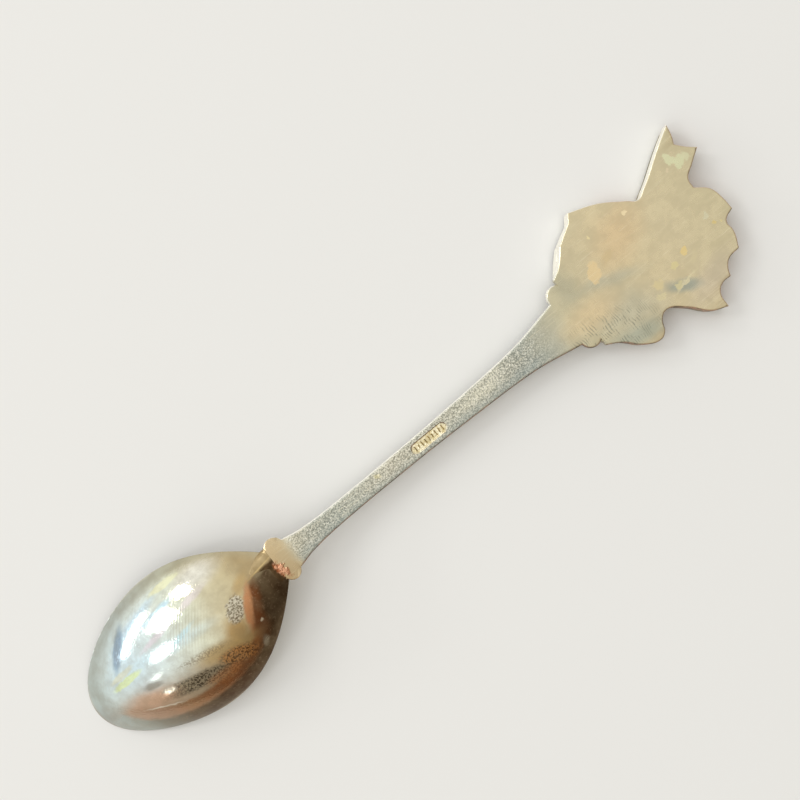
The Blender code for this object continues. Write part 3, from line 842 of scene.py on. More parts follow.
def oval_reach(tree, place, centre, size, turn=0):
    """How far out from an oval's middle a place lies, with 1 at its edge."""
    links = {"Vector": place, "Location": (*centre, 0), "Rotation": (0, 0, math.radians(turn))}
    links["Scale"] = (*size, 1e5)
    oval = add(tree, "ShaderNodeMapping", {"vector_type": "TEXTURE"}, links).outputs[0]
    return add(tree, "ShaderNodeVectorMath", {"operation": "LENGTH"}, {"Vector": oval}).outputs["Value"]


def patch(tree, place, centre, size, turn=0, edge=0.5, strength=1.0):
    """A soft oval: full strength inside it, nothing outside, and an edge of the given share."""
    reach = oval_reach(tree, place, centre, size, turn)
    links = {"Value": reach, "From Min": 1 + edge, "From Max": 1 - edge, "To Max": strength}
    return add(tree, "ShaderNodeMapRange", {"interpolation_type": "SMOOTHSTEP"}, links).outputs[0]


def films(tree, tone, place, spots):
    """Soft ovals laid over a tone, each one its centre, size, turn, edge, strength and tone."""
    for *oval, film in spots:
        tone = layer(tree, tone, film, patch(tree, place, *oval))
    return tone


def tones_along(tree, value, stops):
    """A tone that changes along a value; the stops are (value, hex colour)."""
    start, end = stops[0][0], stops[-1][0]
    links = {"Value": value, "From Min": start, "From Max": end}
    share = add(tree, "ShaderNodeMapRange", {}, links).outputs[0]
    ramp = add(tree, "ShaderNodeValToRGB", {}, {"Fac": share})
    marks = ramp.color_ramp.elements
    for number, (at, tone) in enumerate(stops):
        where = (at - start) / (end - start)
        mark = marks[number] if number < 2 else marks.new(where)
        mark.position = where
        mark.color = linear(tone)
    return ramp.outputs[0]


def grains(tree, place, size, low=0.35, high=0.65, detail=2.0):
    """Light and dark grains of a size in mm, from 0 to 1."""
    links = {"Vector": place, "Scale": 1 / size, "Detail": detail, "Roughness": 0.6}
    return overlap(tree, (add(tree, "ShaderNodeTexNoise", {}, links).outputs[0], low, high))


def swells(tree, place, size):
    """The slow unevenness that hand polishing leaves, of a size in mm."""
    return add(tree, "ShaderNodeTexNoise", {}, {"Vector": place, "Scale": 1 / size, "Detail": 1.0}).outputs[0]


def bumps(tree, shader, *heights):
    """Bumps laid one over another on the surface, each a height and its depth in mm."""
    links = {"Strength": 1.0}
    for height, depth in heights:
        links |= {"Height": height, "Distance": depth * MM}
        links["Normal"] = add(tree, "ShaderNodeBump", {}, links).outputs[0]
    tree.links.new(links["Normal"], shader.inputs["Normal"])


def copper_blotch(tree, tone, place, loose, centre, size):
    """Lumpy bare copper braze in an oval: the tone with it laid over, and the lumps' height."""
    blotch = patch(tree, loose, centre, size, 12, 0.35)
    lumps = grains(tree, place, 0.5)
    return grainy(tree, tone, "a7623c", "e6ae8a", lumps, blotch), overlap(tree, lumps, blotch)


# The oval that the bowl's rim follows.
RIM_OVAL = ((-16.1, BOWL_LINE / MM), (17.8, 10.65))

# Tones of the bowl's bright upper flank, from the tip to the neck: a painted reflection of the bright side
# with the panes, pale and cool.
BRIGHT_REFLECTION_TONES = (
    (-34, "b9c5c2"), (-29, "d4e0dd"), (-24, "d9e7e8"), (-18, "e2e9e0"), (-13, "e4e4cc"),
    (-9.5, "d9cdaa"), (-6, "d0c099"), (-3.5, "b9a47c"), (0.5, "b09468"),
)
# Tones of the flank that has browned, from the tip to the neck: partly brown toning, partly painted shade and
# painted reflection of dark surroundings, darkest by the neck.
BROWNED_AND_SHADED_TONES = (
    (-34, "999d99"), (-29, "b9ab99"), (-24, "c4ab93"), (-18, "b3a48c"), (-13, "a8906c"),
    (-9.8, "b8965f"), (-8, "9a7048"), (-6.2, "7e5435"), (-4.6, "4d3a27"), (-1.2, "54432f"), (0.5, "8a7456"),
)
# Tones below the copper arc, along the lower rim: a painted dark reflection, with some brown toning.
LOWER_RIM_TONES = (
    (-34, "bcc3be"), (-29, "b0b5ad"), (-26.5, "8f8c7f"), (-22, "6b5944"), (-18, "55412c"),
    (-14, "553c26"), (-8, "4e3a22"), (0.5, "4a3826"),
)
# Tones of the copper arc along the lower flank: partly copper toning, partly painted warm reflection.
COPPER_TONES = ((-30, "c9ad97"), (-25, "b3927a"), (-21, "a47b58"), (-15.5, "8f5c38"), (-9, "7a4e2f"))
# Tones of the pale upper rim: partly a painted reflection of pale surroundings.
UPPER_RIM_TONES = ((-34, "bfcac5"), (-22, "b7bdb5"), (-10, "c6c3ab"), (-3, "c6ba9a"))
# Where the painted bright reflection ends and the browned flank with its painted shade begins, as (mm along,
# mm across).
SHADE_LINE = (
    (-34, -0.6), (-27, -0.9), (-20, -2.2), (-14, -3.2), (-10, -4.3), (-8, -4.6), (-6.2, -2.4), (-4.4, -0.1),
    (-3.6, 0.6), (-0.4, 1.2), (2, 1.4),
)
SHADE_LINE_SPAN = (-8.0, 4.0)

# Cool, pinkish and pale yellow films towards the tip and a blue-grey patch, painted reflections of the panes
# and the room; the gold on the crown by the neck; a pale painted highlight along the neck's ridge with a
# darker band beside it.
CROWN_FILMS_AND_REFLECTIONS = (
    ((-18.5, 0.9), (6.0, 0.8), -8, 0.8, 0.7, "d9eef2"),
    ((-20.5, 6.3), (4.2, 0.55), 14, 0.7, 0.8, "cfe4ee"),
    ((-16.4, 5.5), (2.9, 0.45), 6, 0.5, 0.8, "cfeaf2"),
    ((-11.2, 4.1), (2.2, 0.5), 10, 0.6, 0.6, "f3e2e2"),
    ((-18.4, 2.9), (2.6, 0.4), 8, 0.6, 0.6, "f1e0e4"),
    ((-15.4, 0.9), (2.4, 0.35), 12, 0.5, 0.7, "cdebf0"),
    ((-24.3, 4.9), (3.1, 0.75), 48, 0.4, 0.9, "93a8b8"),
    ((-25.7, 0.75), (2.7, 0.5), 2, 0.25, 0.85, "e4f0b4"),
    ((-25.9, 1.8), (2.2, 0.45), 4, 0.3, 0.5, "e8dfb4"),
    ((-9.2, 6.2), (3.0, 1.7), 0, 0.7, 0.85, "f4efe0"),
    ((-9.0, -3.4), (1.9, 1.5), 60, 0.6, 0.9, "bd9c66"),
    ((-11.6, -4.4), (4.2, 1.3), -12, 0.5, 0.85, "c4a874"),
    ((-5.0, 1.3), (1.7, 0.7), 35, 0.7, 0.7, "c7a770"),
    ((-3.4, 1.0), (1.2, 0.11), 8, 0.6, 0.8, "d0b47c"),
    ((-2.6, 0.75), (1.6, 0.4), 8, 0.8, 0.6, "a09070"),
)

# Copper across the neck and along the lower flank, partly toning and partly painted reflection, and pale
# painted highlights in it.
COPPER_FILMS_AND_REFLECTIONS = (
    ((-5.3, -2.2), (3.2, 1.0), 58, 0.5, 0.9, "7a4a2b"),
    ((-5.9, -1.9), (2.9, 0.55), 58, 0.5, 0.95, "d09468"),
    ((-24.6, -3.4), (3.4, 1.2), -18, 0.7, 0.8, "cfa98c"),
    ((-21.6, -3.8), (1.0, 0.45), -18, 0.4, 0.8, "cac6b8"),
    ((-23.0, -1.9), (1.5, 0.5), -14, 0.5, 0.75, "8f8a7f"),
    ((-9.0, -6.6), (2.0, 0.5), 28, 0.7, 0.8, "a0683c"),
    ((-13.0, -7.2), (2.2, 0.6), 20, 0.7, 0.8, "a56c3f"),
    ((-24.0, -5.2), (2.6, 0.10), -24, 0.6, 0.9, "e6dccb"),
    ((-7.4, -7.0), (0.7, 0.35), 50, 0.7, 0.8, "a89c86"),
    ((-5.8, -4.4), (0.22, 0.2), 0, 0.6, 0.9, "e8dcc4"),
)


def shade_line_place(tree, place):
    """The place along the bowl, and how far above the line where the painted bright flank ends and the
    painted shade begins it lies.
    """
    parts = add(tree, "ShaderNodeSeparateXYZ", {}, {"Vector": place}).outputs
    low, high = SHADE_LINE_SPAN
    start, end = SHADE_LINE[0][0], SHADE_LINE[-1][0]
    links = {"Value": parts["X"], "From Min": start, "From Max": end}
    share = add(tree, "ShaderNodeMapRange", {}, links).outputs[0]
    curve = add(tree, "ShaderNodeFloatCurve", {}, {"Value": share})
    line = curve.mapping.curves[0].points
    for number, (at, across) in enumerate(SHADE_LINE):
        where = ((at - start) / (end - start), (across - low) / (high - low))
        if number in (0, len(SHADE_LINE) - 1):
            line[0 if number == 0 else len(line) - 1].location = where
        else:
            line.new(*where)
    curve.mapping.update()
    tide = raised(tree, low, (curve.outputs[0], high - low))
    return parts["X"], raised(tree, parts["Y"], (tide, -1.0))


def bowl_shares(tree):
    """The places and shares that the bowl's layers are laid by."""
    at = SimpleNamespace(place=spoon_place(tree))
    at.loose = wander(tree, at.place, 2.4, 0.55)
    at.tight = wander(tree, at.place, 0.9, 0.28)
    at.along, at.above_tide = shade_line_place(tree, at.loose)
    at.reach = oval_reach(tree, at.tight, *RIM_OVAL)
    at.grain = grains(tree, at.place, 0.26, 0.40, 0.60)
    # A painted reflection: the dark speckled band where dark surroundings show on the lower flank.
    at.dark_band = patch(tree, at.tight, (-18.2, -5.2), (5.6, 1.05), -13, 0.35)
    at.crown = patch(tree, wander(tree, at.place, 0.45, 0.5), (-7.35, -0.95), (1.9, 1.2), 50, 0.2)
    at.golden = patch(tree, at.tight, (-11.0, -6.0), (2.5, 1.15), -20, 0.4)
    at.lower = overlap(tree, (at.above_tide, -1.2, -2.6))
    at.upper = overlap(tree, (at.above_tide, 0.5, 2.0))
    at.outside = overlap(tree, (at.reach, 0.74, 0.82), at.lower)
    return at


def bowl_toning(tree, at):
    """The slow toning, laid with the painted bright reflection and the painted shade of the flanks: hard
    against the bright flank at the neck, and fading over some mm at the tip.
    """
    # Browned tones, partly painted shade, and bright tones, a painted reflection, meet at the shade line.
    browned = tones_along(tree, at.along, BROWNED_AND_SHADED_TONES)
    polished = tones_along(tree, at.along, BRIGHT_REFLECTION_TONES)
    hard = layer(tree, browned, polished, (at.above_tide, -0.25, 0.35))
    faded = layer(tree, browned, polished, (at.above_tide, -3.4, 1.8))
    tone = layer(tree, hard, faded, (at.along, -9, -14))
    return films(tree, tone, at.tight, CROWN_FILMS_AND_REFLECTIONS)


def bowl_worn_and_reflected_spots(tree, tone, at):
    """Grainy spots: dark grains in the browned band, a painted speckled reflection of dark surroundings
    there, and grey ones on the crown, where the plate has gone grainy.

    The grains are drawn a little coarser than real, so that they show.
    """
    tone = grainy(tree, tone, "2b241a", "968b74", at.grain, at.dark_band, 0.9)
    tone = grainy(tree, tone, "6e6455", "ded6c2", at.grain, at.crown, 0.85)
    streaks = patch(tree, at.tight, (-14.6, -3.0), (3.6, 0.55), -12, 0.5)
    return layer(tree, tone, "7d6d55", streaks, at.grain, 0.6)


def bowl_lower_rim(tree, tone, at):
    """The dark lower rim, the copper arc that follows it, and the copper across the neck: partly toning,
    partly painted reflection of dark and warm surroundings.
    """
    # Painted dark reflection along the lower rim.
    tone = layer(tree, tone, tones_along(tree, at.along, LOWER_RIM_TONES), at.outside)
    arc = ((at.reach, 0.62, 0.68), (at.reach, 0.84, 0.76), at.lower, (at.along, -5, -9))
    tone = layer(tree, tone, tones_along(tree, at.along, COPPER_TONES), *arc)
    tone = films(tree, tone, at.tight, COPPER_FILMS_AND_REFLECTIONS)
    tone = grainy(tree, tone, "5a3a1e", "c68d54", at.grain, at.golden, 0.92)
    # Painted reflection: the darkest speckled patch, where dark surroundings show.
    darkest = patch(tree, at.tight, (-16.4, -5.6), (2.6, 0.95), -12, 0.4)
    tone = grainy(tree, tone, "2a2217", "988b74", at.grain, darkest, 0.8)
    orange = patch(tree, at.tight, (-14.2, -7.0), (2.6, 0.8), -6, 0.6)
    return grainy(tree, tone, "8f5c36", "c08a5c", at.grain, orange, 0.7)


def bowl_upper_rim(tree, tone, at):
    """The pale, satin edge of the bright side and the tip, partly a painted reflection, with a thin line
    along the rim itself painted pale as a highlight on the upper side and brown as shade on the lower, and a
    pale yellow painted reflection on the upper flank.
    """
    edge = tones_along(tree, at.along, UPPER_RIM_TONES)
    tone = layer(tree, tone, edge, (at.reach, 0.80, 0.92), at.upper, 0.85)
    rim = oval_reach(tree, at.place, *RIM_OVAL)
    # Painted highlight along the rim on the upper side, painted shade on the lower.
    tone = layer(tree, tone, layer(tree, "a8957c", "dedaca", at.upper), (rim, 0.975, 0.99), 0.6)
    # A painted reflection: a pale yellow patch on the upper flank.
    return layer(tree, tone, "f2efc6", patch(tree, at.tight, (-13.6, 7.9), (2.4, 0.5), 0, 0.3), 0.95)


def toned_bowl_finish():
    """Silver plate pressed, wheel polished and long handled.

    It mirrors the panes on its bright flank, which is also painted with their pale reflection, and has toned
    to gold, copper and brown on the other, where the mirror turns satin; that side's colour is partly painted
    shade and painted reflection of dark and warm surroundings.
    """
    material, tree, shader = new_finish("Toned silver plate, polished, with painted reflections", 0.13)
    at = bowl_shares(tree)
    tone = bowl_toning(tree, at)
    for lay in (bowl_worn_and_reflected_spots, bowl_lower_rim, bowl_upper_rim):
        tone = lay(tree, tone, at)

    # Chatter lines of the polishing wheel, plainest on the crown, drawn coarser than real so that they show.
    turned = {"Vector": at.place, "Rotation": (0, 0, math.radians(38))}
    wheel = {"Scale": 0.75, "Distortion": 0.8, "Detail": 2.0, "Detail Scale": 0.4}
    wheel["Vector"] = add(tree, "ShaderNodeMapping", {}, turned).outputs[0]
    lines = add(tree, "ShaderNodeTexWave", {}, wheel).outputs["Fac"]
    chatter = patch(tree, at.loose, (-13.6, 1.2), (3.2, 2.4), 30, 0.7)
    tone = layer(tree, tone, "c5bfa4", lines, chatter, 0.35)

    # Small clouds in the toning, and fine specks.
    clouds = grains(tree, at.place, 1.7, 0.3, 0.7, 4.0)
    tone = layer(tree, tone, layer(tree, tone, "8d7d62", 0.28), clouds)
    specks = grains(tree, at.place, 0.34, 0.56, 0.66, 3.0)
    tone = layer(tree, tone, "e2c3a2", specks, (at.above_tide, 0.3, -0.6), 0.1)
    tree.links.new(tone, shader.inputs["Base Color"])

    # Satin where it is grainy or browned, and nearly a mirror on the crown and in one low spot.
    neck = overlap(tree, (at.along, -8, -4))
    satin = strongest(tree, at.dark_band, at.golden, at.crown, at.outside, neck)
    mirror = patch(tree, at.tight, (-21.8, -3.9), (1.9, 1.1), -18, 0.3)
    satin = strongest(tree, raised(tree, satin, (mirror, -1.0)), 0.0)
    tree.links.new(raised(tree, 0.075, (satin, 0.225)), shader.inputs["Roughness"])

    line_height = overlap(tree, lines, raised(tree, 0.1, (chatter, 0.9)))
    hair_scratches = grains(tree, at.place, 0.3)
    uneven = swells(tree, at.place, 3.2)
    bumps(tree, shader, (uneven, 0.022), (line_height, 0.006), (hair_scratches, 0.004))
    return material


# Tones of the handle's and the emblem's back, from the shoulder to the far edge.
BACK_TONES = (
    (-3, "bba278"), (0.5, "c9b087"), (2.2, "cfb992"), (3.6, "d2cab0"), (6.5, "b9bbae"), (11, "a9b1a8"),
    (16, "b5b5a6"), (21, "c2b9a3"), (25, "b4b19f"), (33, "b9b6a4"), (37, "c3bfac"), (42, "b0b0a2"),
    (45, "9ca29a"), (49, "bdbaa6"), (53, "cdc3a3"), (58, "d2c4a1"), (64, "dac9a3"), (72, "d9caa6"),
    (80, "d5c8a4"),
)

# Clouds of tarnish on the emblem: bluish grey on its lower side, warmer on its upper side.
TARNISH_CLOUDS = (
    ((60.6, -4.2), (4.6, 3.0), -20, 0.8, 0.5, "bcbcaa"),
    ((61.0, 0.8), (4.2, 0.9), -18, 0.8, 0.55, "aeae9c"),
    ((68.6, -6.2), (2.4, 0.9), -32, 0.6, 0.8, "a0a79c"),
    ((59.5, -7.6), (4.4, 1.3), -12, 0.7, 0.65, "a5ad9f"),
    ((55.5, 4.2), (1.5, 2.4), 0, 0.8, 0.5, "a9a690"),
    ((56.0, -1.2), (4.0, 2.0), 0, 0.8, 0.65, "e6cca0"),
    ((66.0, 5.2), (4.5, 2.6), 30, 0.8, 0.6, "dfc297"),
    ((72.5, -8.0), (4.0, 1.6), 20, 0.8, 0.4, "cdbfae"),
)

# Spots rubbed through to bare yellow metal, pale green ones on the ribbon, and cream ones on the shaft.
RUBBED_SPOTS = (
    ((60.0, 3.1), (0.95, 1.5), -25, 0.15, 0.8, "e6cc9c"),
    ((62.8, 3.6), (1.3, 0.55), 20, 0.6, 0.5, "d2bb8e"),
    ((78.2, 8.8), (0.62, 1.0), 30, 0.2, 0.8, "dedeb6"),
    ((79.2, 7.6), (0.75, 1.0), -50, 0.2, 0.8, "dcdcb4"),
    ((80.3, 7.7), (0.5, 0.8), 0, 0.25, 0.8, "dbd8b2"),
    ((65.8, -4.0), (0.75, 0.7), 0, 0.3, 0.8, "ddcc9e"),
    ((65.2, -5.5), (0.6, 0.5), 0, 0.3, 0.7, "ddd0a6"),
    ((69.3, -6.0), (1.9, 0.22), 12, 0.5, 0.8, "e0d4ae"),
    ((68.1, -5.9), (0.7, 0.4), 20, 0.3, 0.75, "dccf9f"),
    ((71.7, -2.5), (0.62, 0.42), 30, 0.2, 0.9, "e6cd90"),
    ((69.3, -3.3), (0.6, 0.42), 20, 0.2, 0.8, "ded09c"),
    ((68.6, 7.1), (0.34, 0.28), 0, 0.3, 0.95, "f0dcb2"),
    ((62.5, 7.4), (0.26, 0.3), 0, 0.3, 0.85, "ead9a8"),
    ((77.1, -0.6), (0.55, 0.32), 40, 0.3, 0.7, "d9d3b4"),
    ((77.5, -2.1), (0.42, 0.14), 75, 0.3, 0.85, "dcc688"),
    ((78.5, -2.6), (0.32, 0.14), 75, 0.3, 0.85, "dfcf9c"),
    ((72.3, -4.0), (0.9, 0.4), 40, 0.6, 0.55, "d9cba4"),
    ((77.2, 7.8), (0.22, 0.22), 0, 0.3, 0.8, "dfceac"),
    ((18.5, 0.5), (0.6, 0.4), 0, 0.4, 0.85, "f0e2a6"),
    ((36.4, 0.3), (3.4, 0.7), 0, 0.8, 0.55, "f0ead0"),
    ((40.2, 0.9), (1.8, 0.7), 0, 0.8, 0.5, "f2eedb"),
)


def back_shares(tree):
    """The places, facings and shares that the back's layers are laid by."""
    at = SimpleNamespace(place=spoon_place(tree))
    at.loose = wander(tree, at.place, 2.6, 0.8)
    at.tight = wander(tree, at.place, 0.7, 0.7)
    parts = add(tree, "ShaderNodeSeparateXYZ", {}, {"Vector": at.loose}).outputs
    at.along, at.across = parts["X"], parts["Y"]
    at.steady = add(tree, "ShaderNodeSeparateXYZ", {}, {"Vector": at.place}).outputs
    normal = add(tree, "ShaderNodeNewGeometry").outputs["Normal"]
    at.facing = add(tree, "ShaderNodeSeparateXYZ", {}, {"Vector": normal}).outputs
    at.stippled = overlap(tree, (at.along, 2.6, 3.8), (at.along, 52, 43))
    return at


def stippled_shaft(tree, tone, at):
    """The punched ground of the shaft: tone and height.

    Its grain is drawn coarser than real so that it shows.
    """
    grain = grains(tree, at.place, 0.21, 0.36, 0.62, 3.0)
    tone = grainy(tree, tone, "6e6f64", "f4efdd", grain, at.stippled, 0.55)
    specks = grains(tree, at.place, 0.42, 0.60, 0.68, 1.0)
    tone = layer(tree, tone, "efebdc", specks, at.stippled, 0.55)
    tone = layer(tree, tone, "8d9998", (at.across, 0.1, -1.6), at.stippled, 0.4)
    return tone, overlap(tree, grain, at.stippled)


def wheel_marks(tree, tone, at):
    """Marks of the grinding wheel across the collar and the emblem's lower side: tone and depth.

    They are drawn coarser than real so that they show.
    """
    wave = {"Vector": wander(tree, at.place, 6.0, 1.2), "Scale": 0.85, "Distortion": 1.2, "Detail": 2.0}
    wheel = add(tree, "ShaderNodeTexWave", {"bands_direction": "X"}, wave).outputs["Fac"]
    ground = patch(tree, at.loose, (56.5, -5.2), (7.0, 3.0), -14, 0.6)
    broken = grains(tree, at.place, 1.1, 0.42, 0.62)
    marks = overlap(tree, (wheel, 0.55, 0.05), ground, broken)
    return layer(tree, tone, "6c7166", marks, 0.55), overlap(tree, marks, -1.0)


def hair_lines(tree, tone, at):
    """Fine slanting scratches of wear: tone and height."""
    slant = {"Vector": at.place, "Rotation": (0, 0, math.radians(34)), "Scale": (0.25, 4.5, 1.0)}
    links = {"Vector": add(tree, "ShaderNodeMapping", {}, slant).outputs[0], "Scale": 1.0, "Detail": 4.0}
    hairs = add(tree, "ShaderNodeTexNoise", {}, links).outputs[0]
    return layer(tree, tone, "eee2c4", (hairs, 0.55, 0.85), 0.5), hairs


def cartouche_floor(tree, tone, at):
    """The cartouche's floor kept its creamy plate, and its sloping sides are darker."""
    here = patch(tree, at.place, ((CARTOUCHE_X - END_X) / MM, 0), (3.0, 1.1), 0, 0.1)
    sunk = (at.steady["Z"], BACK_HEIGHT / MM - 0.04, BACK_HEIGHT / MM - 0.14)
    here = overlap(tree, here, sunk, (at.facing["Z"], 0.0, 0.3))
    tone = grainy(tree, tone, "dccb9b", "fdf3d2", grains(tree, at.place, 0.5), here)
    return layer(tree, tone, "7a6440", here, (at.facing["Z"], 0.95, 0.7), 0.8)


def back_edges(tree, tone, at):
    """Edges: painted bright on the upper side where light catches them, painted dark brown with
    copper-coloured grains on the lower side as shade, and a pinkish painted highlight on walls facing away
    from the bowl.
    """
    side = overlap(tree, (at.facing["Z"], 0.93, 0.55), (at.facing["Z"], -0.2, 0.0))
    bright = overlap(tree, (at.facing["Y"], -0.05, 0.3), side, (at.steady["X"], 0.1, 0.4))
    brown = overlap(tree, (at.facing["Y"], 0.0, -0.3), side)
    # Painted highlight on the lit side's walls and rounded edges.
    tone = layer(tree, tone, "fffcf2", bright, 0.95)
    # Painted shade on the lower side's walls.
    tone = grainy(tree, tone, "4b382a", "b98a70", grains(tree, at.place, 0.9), brown, 0.85)
    # Painted pinkish highlight on the emblem's walls that face away from the bowl.
    tone = layer(tree, tone, "d39f84", (at.facing["X"], 0.3, 0.6), side, (at.along, 60, 68), 0.75)
    return tone, bright, brown


def back_finish():
    """Silver plate on struck and cast metal: a stippled shaft, and a shoulder and emblem ground smooth.

    The shaft glitters dully, the ground places have a soft warm sheen, and the edges are painted bright as
    lit on the upper side and dark as shade on the lower side.
    """
    material, tree, shader = new_finish("Silver plate, stippled and ground", 0.3)
    at = back_shares(tree)
    tone = films(tree, tones_along(tree, at.along, BACK_TONES), at.loose, TARNISH_CLOUDS)
    clouds = grains(tree, at.place, 2.1, 0.3, 0.7, 4.0)
    tone = layer(tree, tone, layer(tree, tone, "968d72", 0.2), clouds)
    tone = films(tree, tone, at.tight, RUBBED_SPOTS)
    tone, lumps = copper_blotch(tree, tone, at.place, at.tight, (0.55, -1.0), (0.48, 1.35))
    tone, stipple = stippled_shaft(tree, tone, at)
    tone, marks = wheel_marks(tree, tone, at)
    tone, hairs = hair_lines(tree, tone, at)
    tone = cartouche_floor(tree, tone, at)
    tone, bright, brown = back_edges(tree, tone, at)
    tree.links.new(tone, shader.inputs["Base Color"])

    wall = overlap(tree, (at.facing["Z"], 0.5, 0.2), bright)
    rough = raised(tree, 0.24, (clouds, 0.08), (at.stippled, 0.14), (brown, 0.2), (wall, 0.25))
    tree.links.new(rough, shader.inputs["Roughness"])
    uneven = swells(tree, at.place, 2.8)
    bumps(tree, shader, (uneven, 0.02), (stipple, 0.03), (marks, 0.012), (hairs, 0.01), (lumps, 0.12))
    return material


def neck_braze_finish():
    """Copper braze, ground down with the plate: tan and satin, painted dark below its ridge as shade and dark
    reflection, with a pale painted highlight along the ridge, and bare at the end.
    """
    material, tree, shader = new_finish("Copper braze, ground and toned", 0.36)
    place = spoon_place(tree)
    tight = wander(tree, place, 0.7, 0.3)
    above_tide = shade_line_place(tree, tight)[1]
    clouds = grains(tree, place, 1.4, 0.3, 0.7, 4.0)
    tan = layer(tree, "a58e66", "bba47b", clouds)
    # Painted shade and dark reflection: the braze's side below the ridge, away from the panes.
    dark = layer(tree, "43331f", "6d563c", clouds)
    tone = layer(tree, dark, tan, (above_tide, -0.35, 0.2))
    tone, lumps = copper_blotch(tree, tone, place, tight, (0.35, -1.0), (0.55, 1.35))
    # Painted highlight: a pale line along the ridge.
    ridge = patch(tree, place, (-1.9, 1.2), (2.1, 0.1), 8, 0.6)
    tree.links.new(layer(tree, tone, "d6bb84", ridge, 0.7), shader.inputs["Base Color"])
    bumps(tree, shader, (clouds, 0.02), (lumps, 0.12))
    return material


def front_finish():
    """Struck silver plate, oxidised and rubbed: bright on the high places, dull black in the hollows."""
    material, tree, shader = new_finish("Silver plate, struck and oxidised", 0.3)
    place = spoon_place(tree)
    height = add(tree, "ShaderNodeSeparateXYZ", {}, {"Vector": place}).outputs["Z"]
    clouds = grains(tree, place, 1.6, 0.3, 0.7, 4.0)
    plate = layer(tree, "c2bca4", "d8d1b6", clouds)
    hollow = overlap(tree, (height, 0.34, 0.82))
    mottle = raised(tree, 0.7, (grains(tree, place, 0.4), 0.3))
    tree.links.new(layer(tree, plate, "3b3429", hollow, mottle, 0.85), shader.inputs["Base Color"])
    tree.links.new(raised(tree, 0.24, (hollow, 0.26)), shader.inputs["Roughness"])
    bumps(tree, shader, (clouds, 0.02), (grains(tree, place, 0.35), 0.008))
    return material


def bowl_inside_finish():
    """Polished silver plate inside the bowl: a bright mirror, dulled a little by the scratches of use.

    The scratches are drawn coarser than real so that they show.
    """
    material, tree, shader = new_finish("Silver plate, polished and used", 0.15)
    place = spoon_place(tree)
    clouds = grains(tree, place, 3.5, 0.3, 0.7, 4.0)
    tree.links.new(layer(tree, "d9d4c2", "c3b897", clouds, 0.6), shader.inputs["Base Color"])
    tree.links.new(raised(tree, 0.12, (clouds, 0.08)), shader.inputs["Roughness"])
    stretched = add(tree, "ShaderNodeMapping", {}, {"Vector": place, "Scale": (0.3, 5.0, 1.0)}).outputs[0]
    links = {"Vector": stretched, "Scale": 1.0, "Detail": 5.0}
    bumps(tree, shader, (add(tree, "ShaderNodeTexNoise", {}, links).outputs[0], 0.006))
    return material


def mark_finish():
    """Tarnish and grime in the struck marks: dull and brown, with lighter grains in it."""
    material, tree, shader = new_finish("Tarnished struck marks", 0.45)
    grain = grains(tree, spoon_place(tree), 0.3)
    tree.links.new(layer(tree, "6f5b38", "b59c68", grain), shader.inputs["Base Color"])
    return material


# ---- table, light and camera ------------------------------------------------------------------


# Where the light comes from: direction of the bright side, and the world's tones from dim to bright.
BRIGHT_SIDE = (-0.45, 0.65, 0.6)
STUDIO_TONES = ((-0.7, "8b857d"), (-0.1, "c8c2b8"), (0.45, "efefec"), (1.0, "f6fbff"))
STUDIO_STRENGTH = 1.12
LAMP_DISTANCE = 1.2
# Window panes: azimuth and elevation in degrees, width and height in metres, and strength.
PANES = (
    ("Left pane", 102, 29, 0.20, 0.20, 8.0),
    ("Middle pane", 127, 36, 0.28, 0.34, 7.0),
    ("Low pane", 138, 15, 0.52, 0.11, 6.0),
    ("Right pane", 168, 47, 0.20, 0.24, 6.0),
    ("Far pane", -167, 34, 0.05, 0.07, 5.0),
    ("Door pane", -145, 22, 0.06, 0.07, 5.0),
)

# The view: straight above, its height over the back, the middle and width of what it takes in, and its turn.
VIEW_HEIGHT = 150 * MM
VIEW_MIDDLE = (3.5 * MM, 6.7 * MM)
VIEW_WIDTH = 111.9 * MM
VIEW_TURN = math.radians(39.55)
SENSOR_WIDTH = 36.0


def make_table():
    """The floor, which isn't part of the spoon."""
    bm = bmesh.new()
    bmesh.ops.create_grid(bm, x_segments=1, y_segments=1, size=2.0)
    table = new_object("table", bm)
    material = bpy.data.materials.new("Matt pale laminate")
    material.use_nodes = True
    shader = material.node_tree.nodes["Principled BSDF"]
    shader.inputs["Base Color"].default_value = linear("e4e2de")
    shader.inputs["Roughness"].default_value = 0.9
    table.data.materials.append(material)


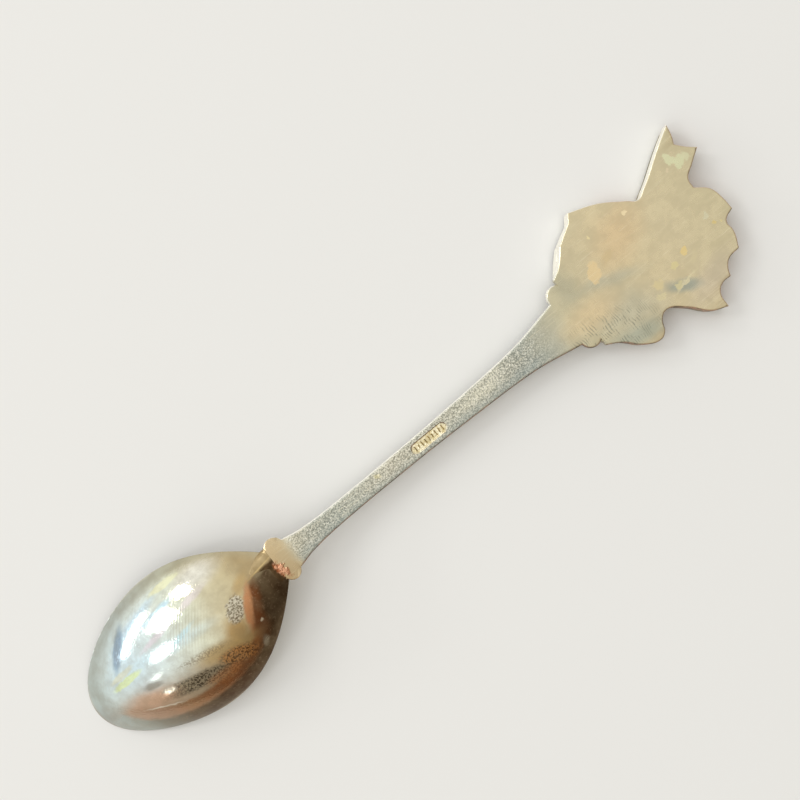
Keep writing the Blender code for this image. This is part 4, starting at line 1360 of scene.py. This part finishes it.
def soft_light(name, azimuth, elevation, width, height, strength):
    """A soft panel lamp aimed at the spoon; strength is its brightness as seen."""
    lamp = bpy.data.lights.new(name, "AREA")
    lamp.shape = "RECTANGLE"
    lamp.size, lamp.size_y = width, height
    lamp.energy = strength * math.pi * width * height
    item = bpy.data.objects.new(name, lamp)
    azimuth, elevation = math.radians(azimuth), math.radians(elevation)
    level = math.cos(elevation)
    way = Vector((level * math.cos(azimuth), level * math.sin(azimuth), math.sin(elevation)))
    item.location = way * LAMP_DISTANCE
    item.rotation_euler = way.to_track_quat("Z", "Y").to_euler()
    bpy.context.scene.collection.objects.link(item)


def make_light():
    """A pale studio, brighter on the side of its window panes and dimmer across from them."""
    world = bpy.data.worlds.new("Studio")
    bpy.context.scene.world = world
    world.use_nodes = True
    tree = world.node_tree
    way = add(tree, "ShaderNodeTexCoord").outputs["Generated"]
    towards = {"Vector": way, "Vector_001": Vector(BRIGHT_SIDE).normalized()}
    facing = add(tree, "ShaderNodeVectorMath", {"operation": "DOT_PRODUCT"}, towards).outputs["Value"]
    background = tree.nodes["Background"].inputs
    tree.links.new(tones_along(tree, facing, STUDIO_TONES), background["Color"])
    background["Strength"].default_value = STUDIO_STRENGTH
    for pane in PANES:
        soft_light(*pane)


def make_camera():
    """Straight above, turned so that the handle runs up to the right."""
    camera = bpy.data.cameras.new("Camera")
    item = bpy.data.objects.new("Camera", camera)
    camera.sensor_width = SENSOR_WIDTH
    camera.lens = SENSOR_WIDTH * VIEW_HEIGHT / VIEW_WIDTH
    camera.clip_start = 0.01
    item.location = (*VIEW_MIDDLE, BACK_HEIGHT + VIEW_HEIGHT)
    item.rotation_euler = (0, 0, -VIEW_TURN)
    bpy.context.scene.collection.objects.link(item)
    bpy.context.scene.camera = item


def main():
    bpy.context.scene.view_settings.view_transform = "Standard"
    make_camera()
    make_light()
    make_table()
    back = back_finish()
    front = front_finish()
    bowl = make_bowl(toned_bowl_finish(), bowl_inside_finish())
    make_handle(back)
    make_cartouche_marks(mark_finish())
    make_emblem_back(back)
    make_emblem_front(back, front)
    make_edge_moulding(front)
    make_leaves(front)
    make_ribbon(front)
    make_flower(front)
    make_neck_fillet(bowl, neck_braze_finish())
    make_collar_seam(back)


main()
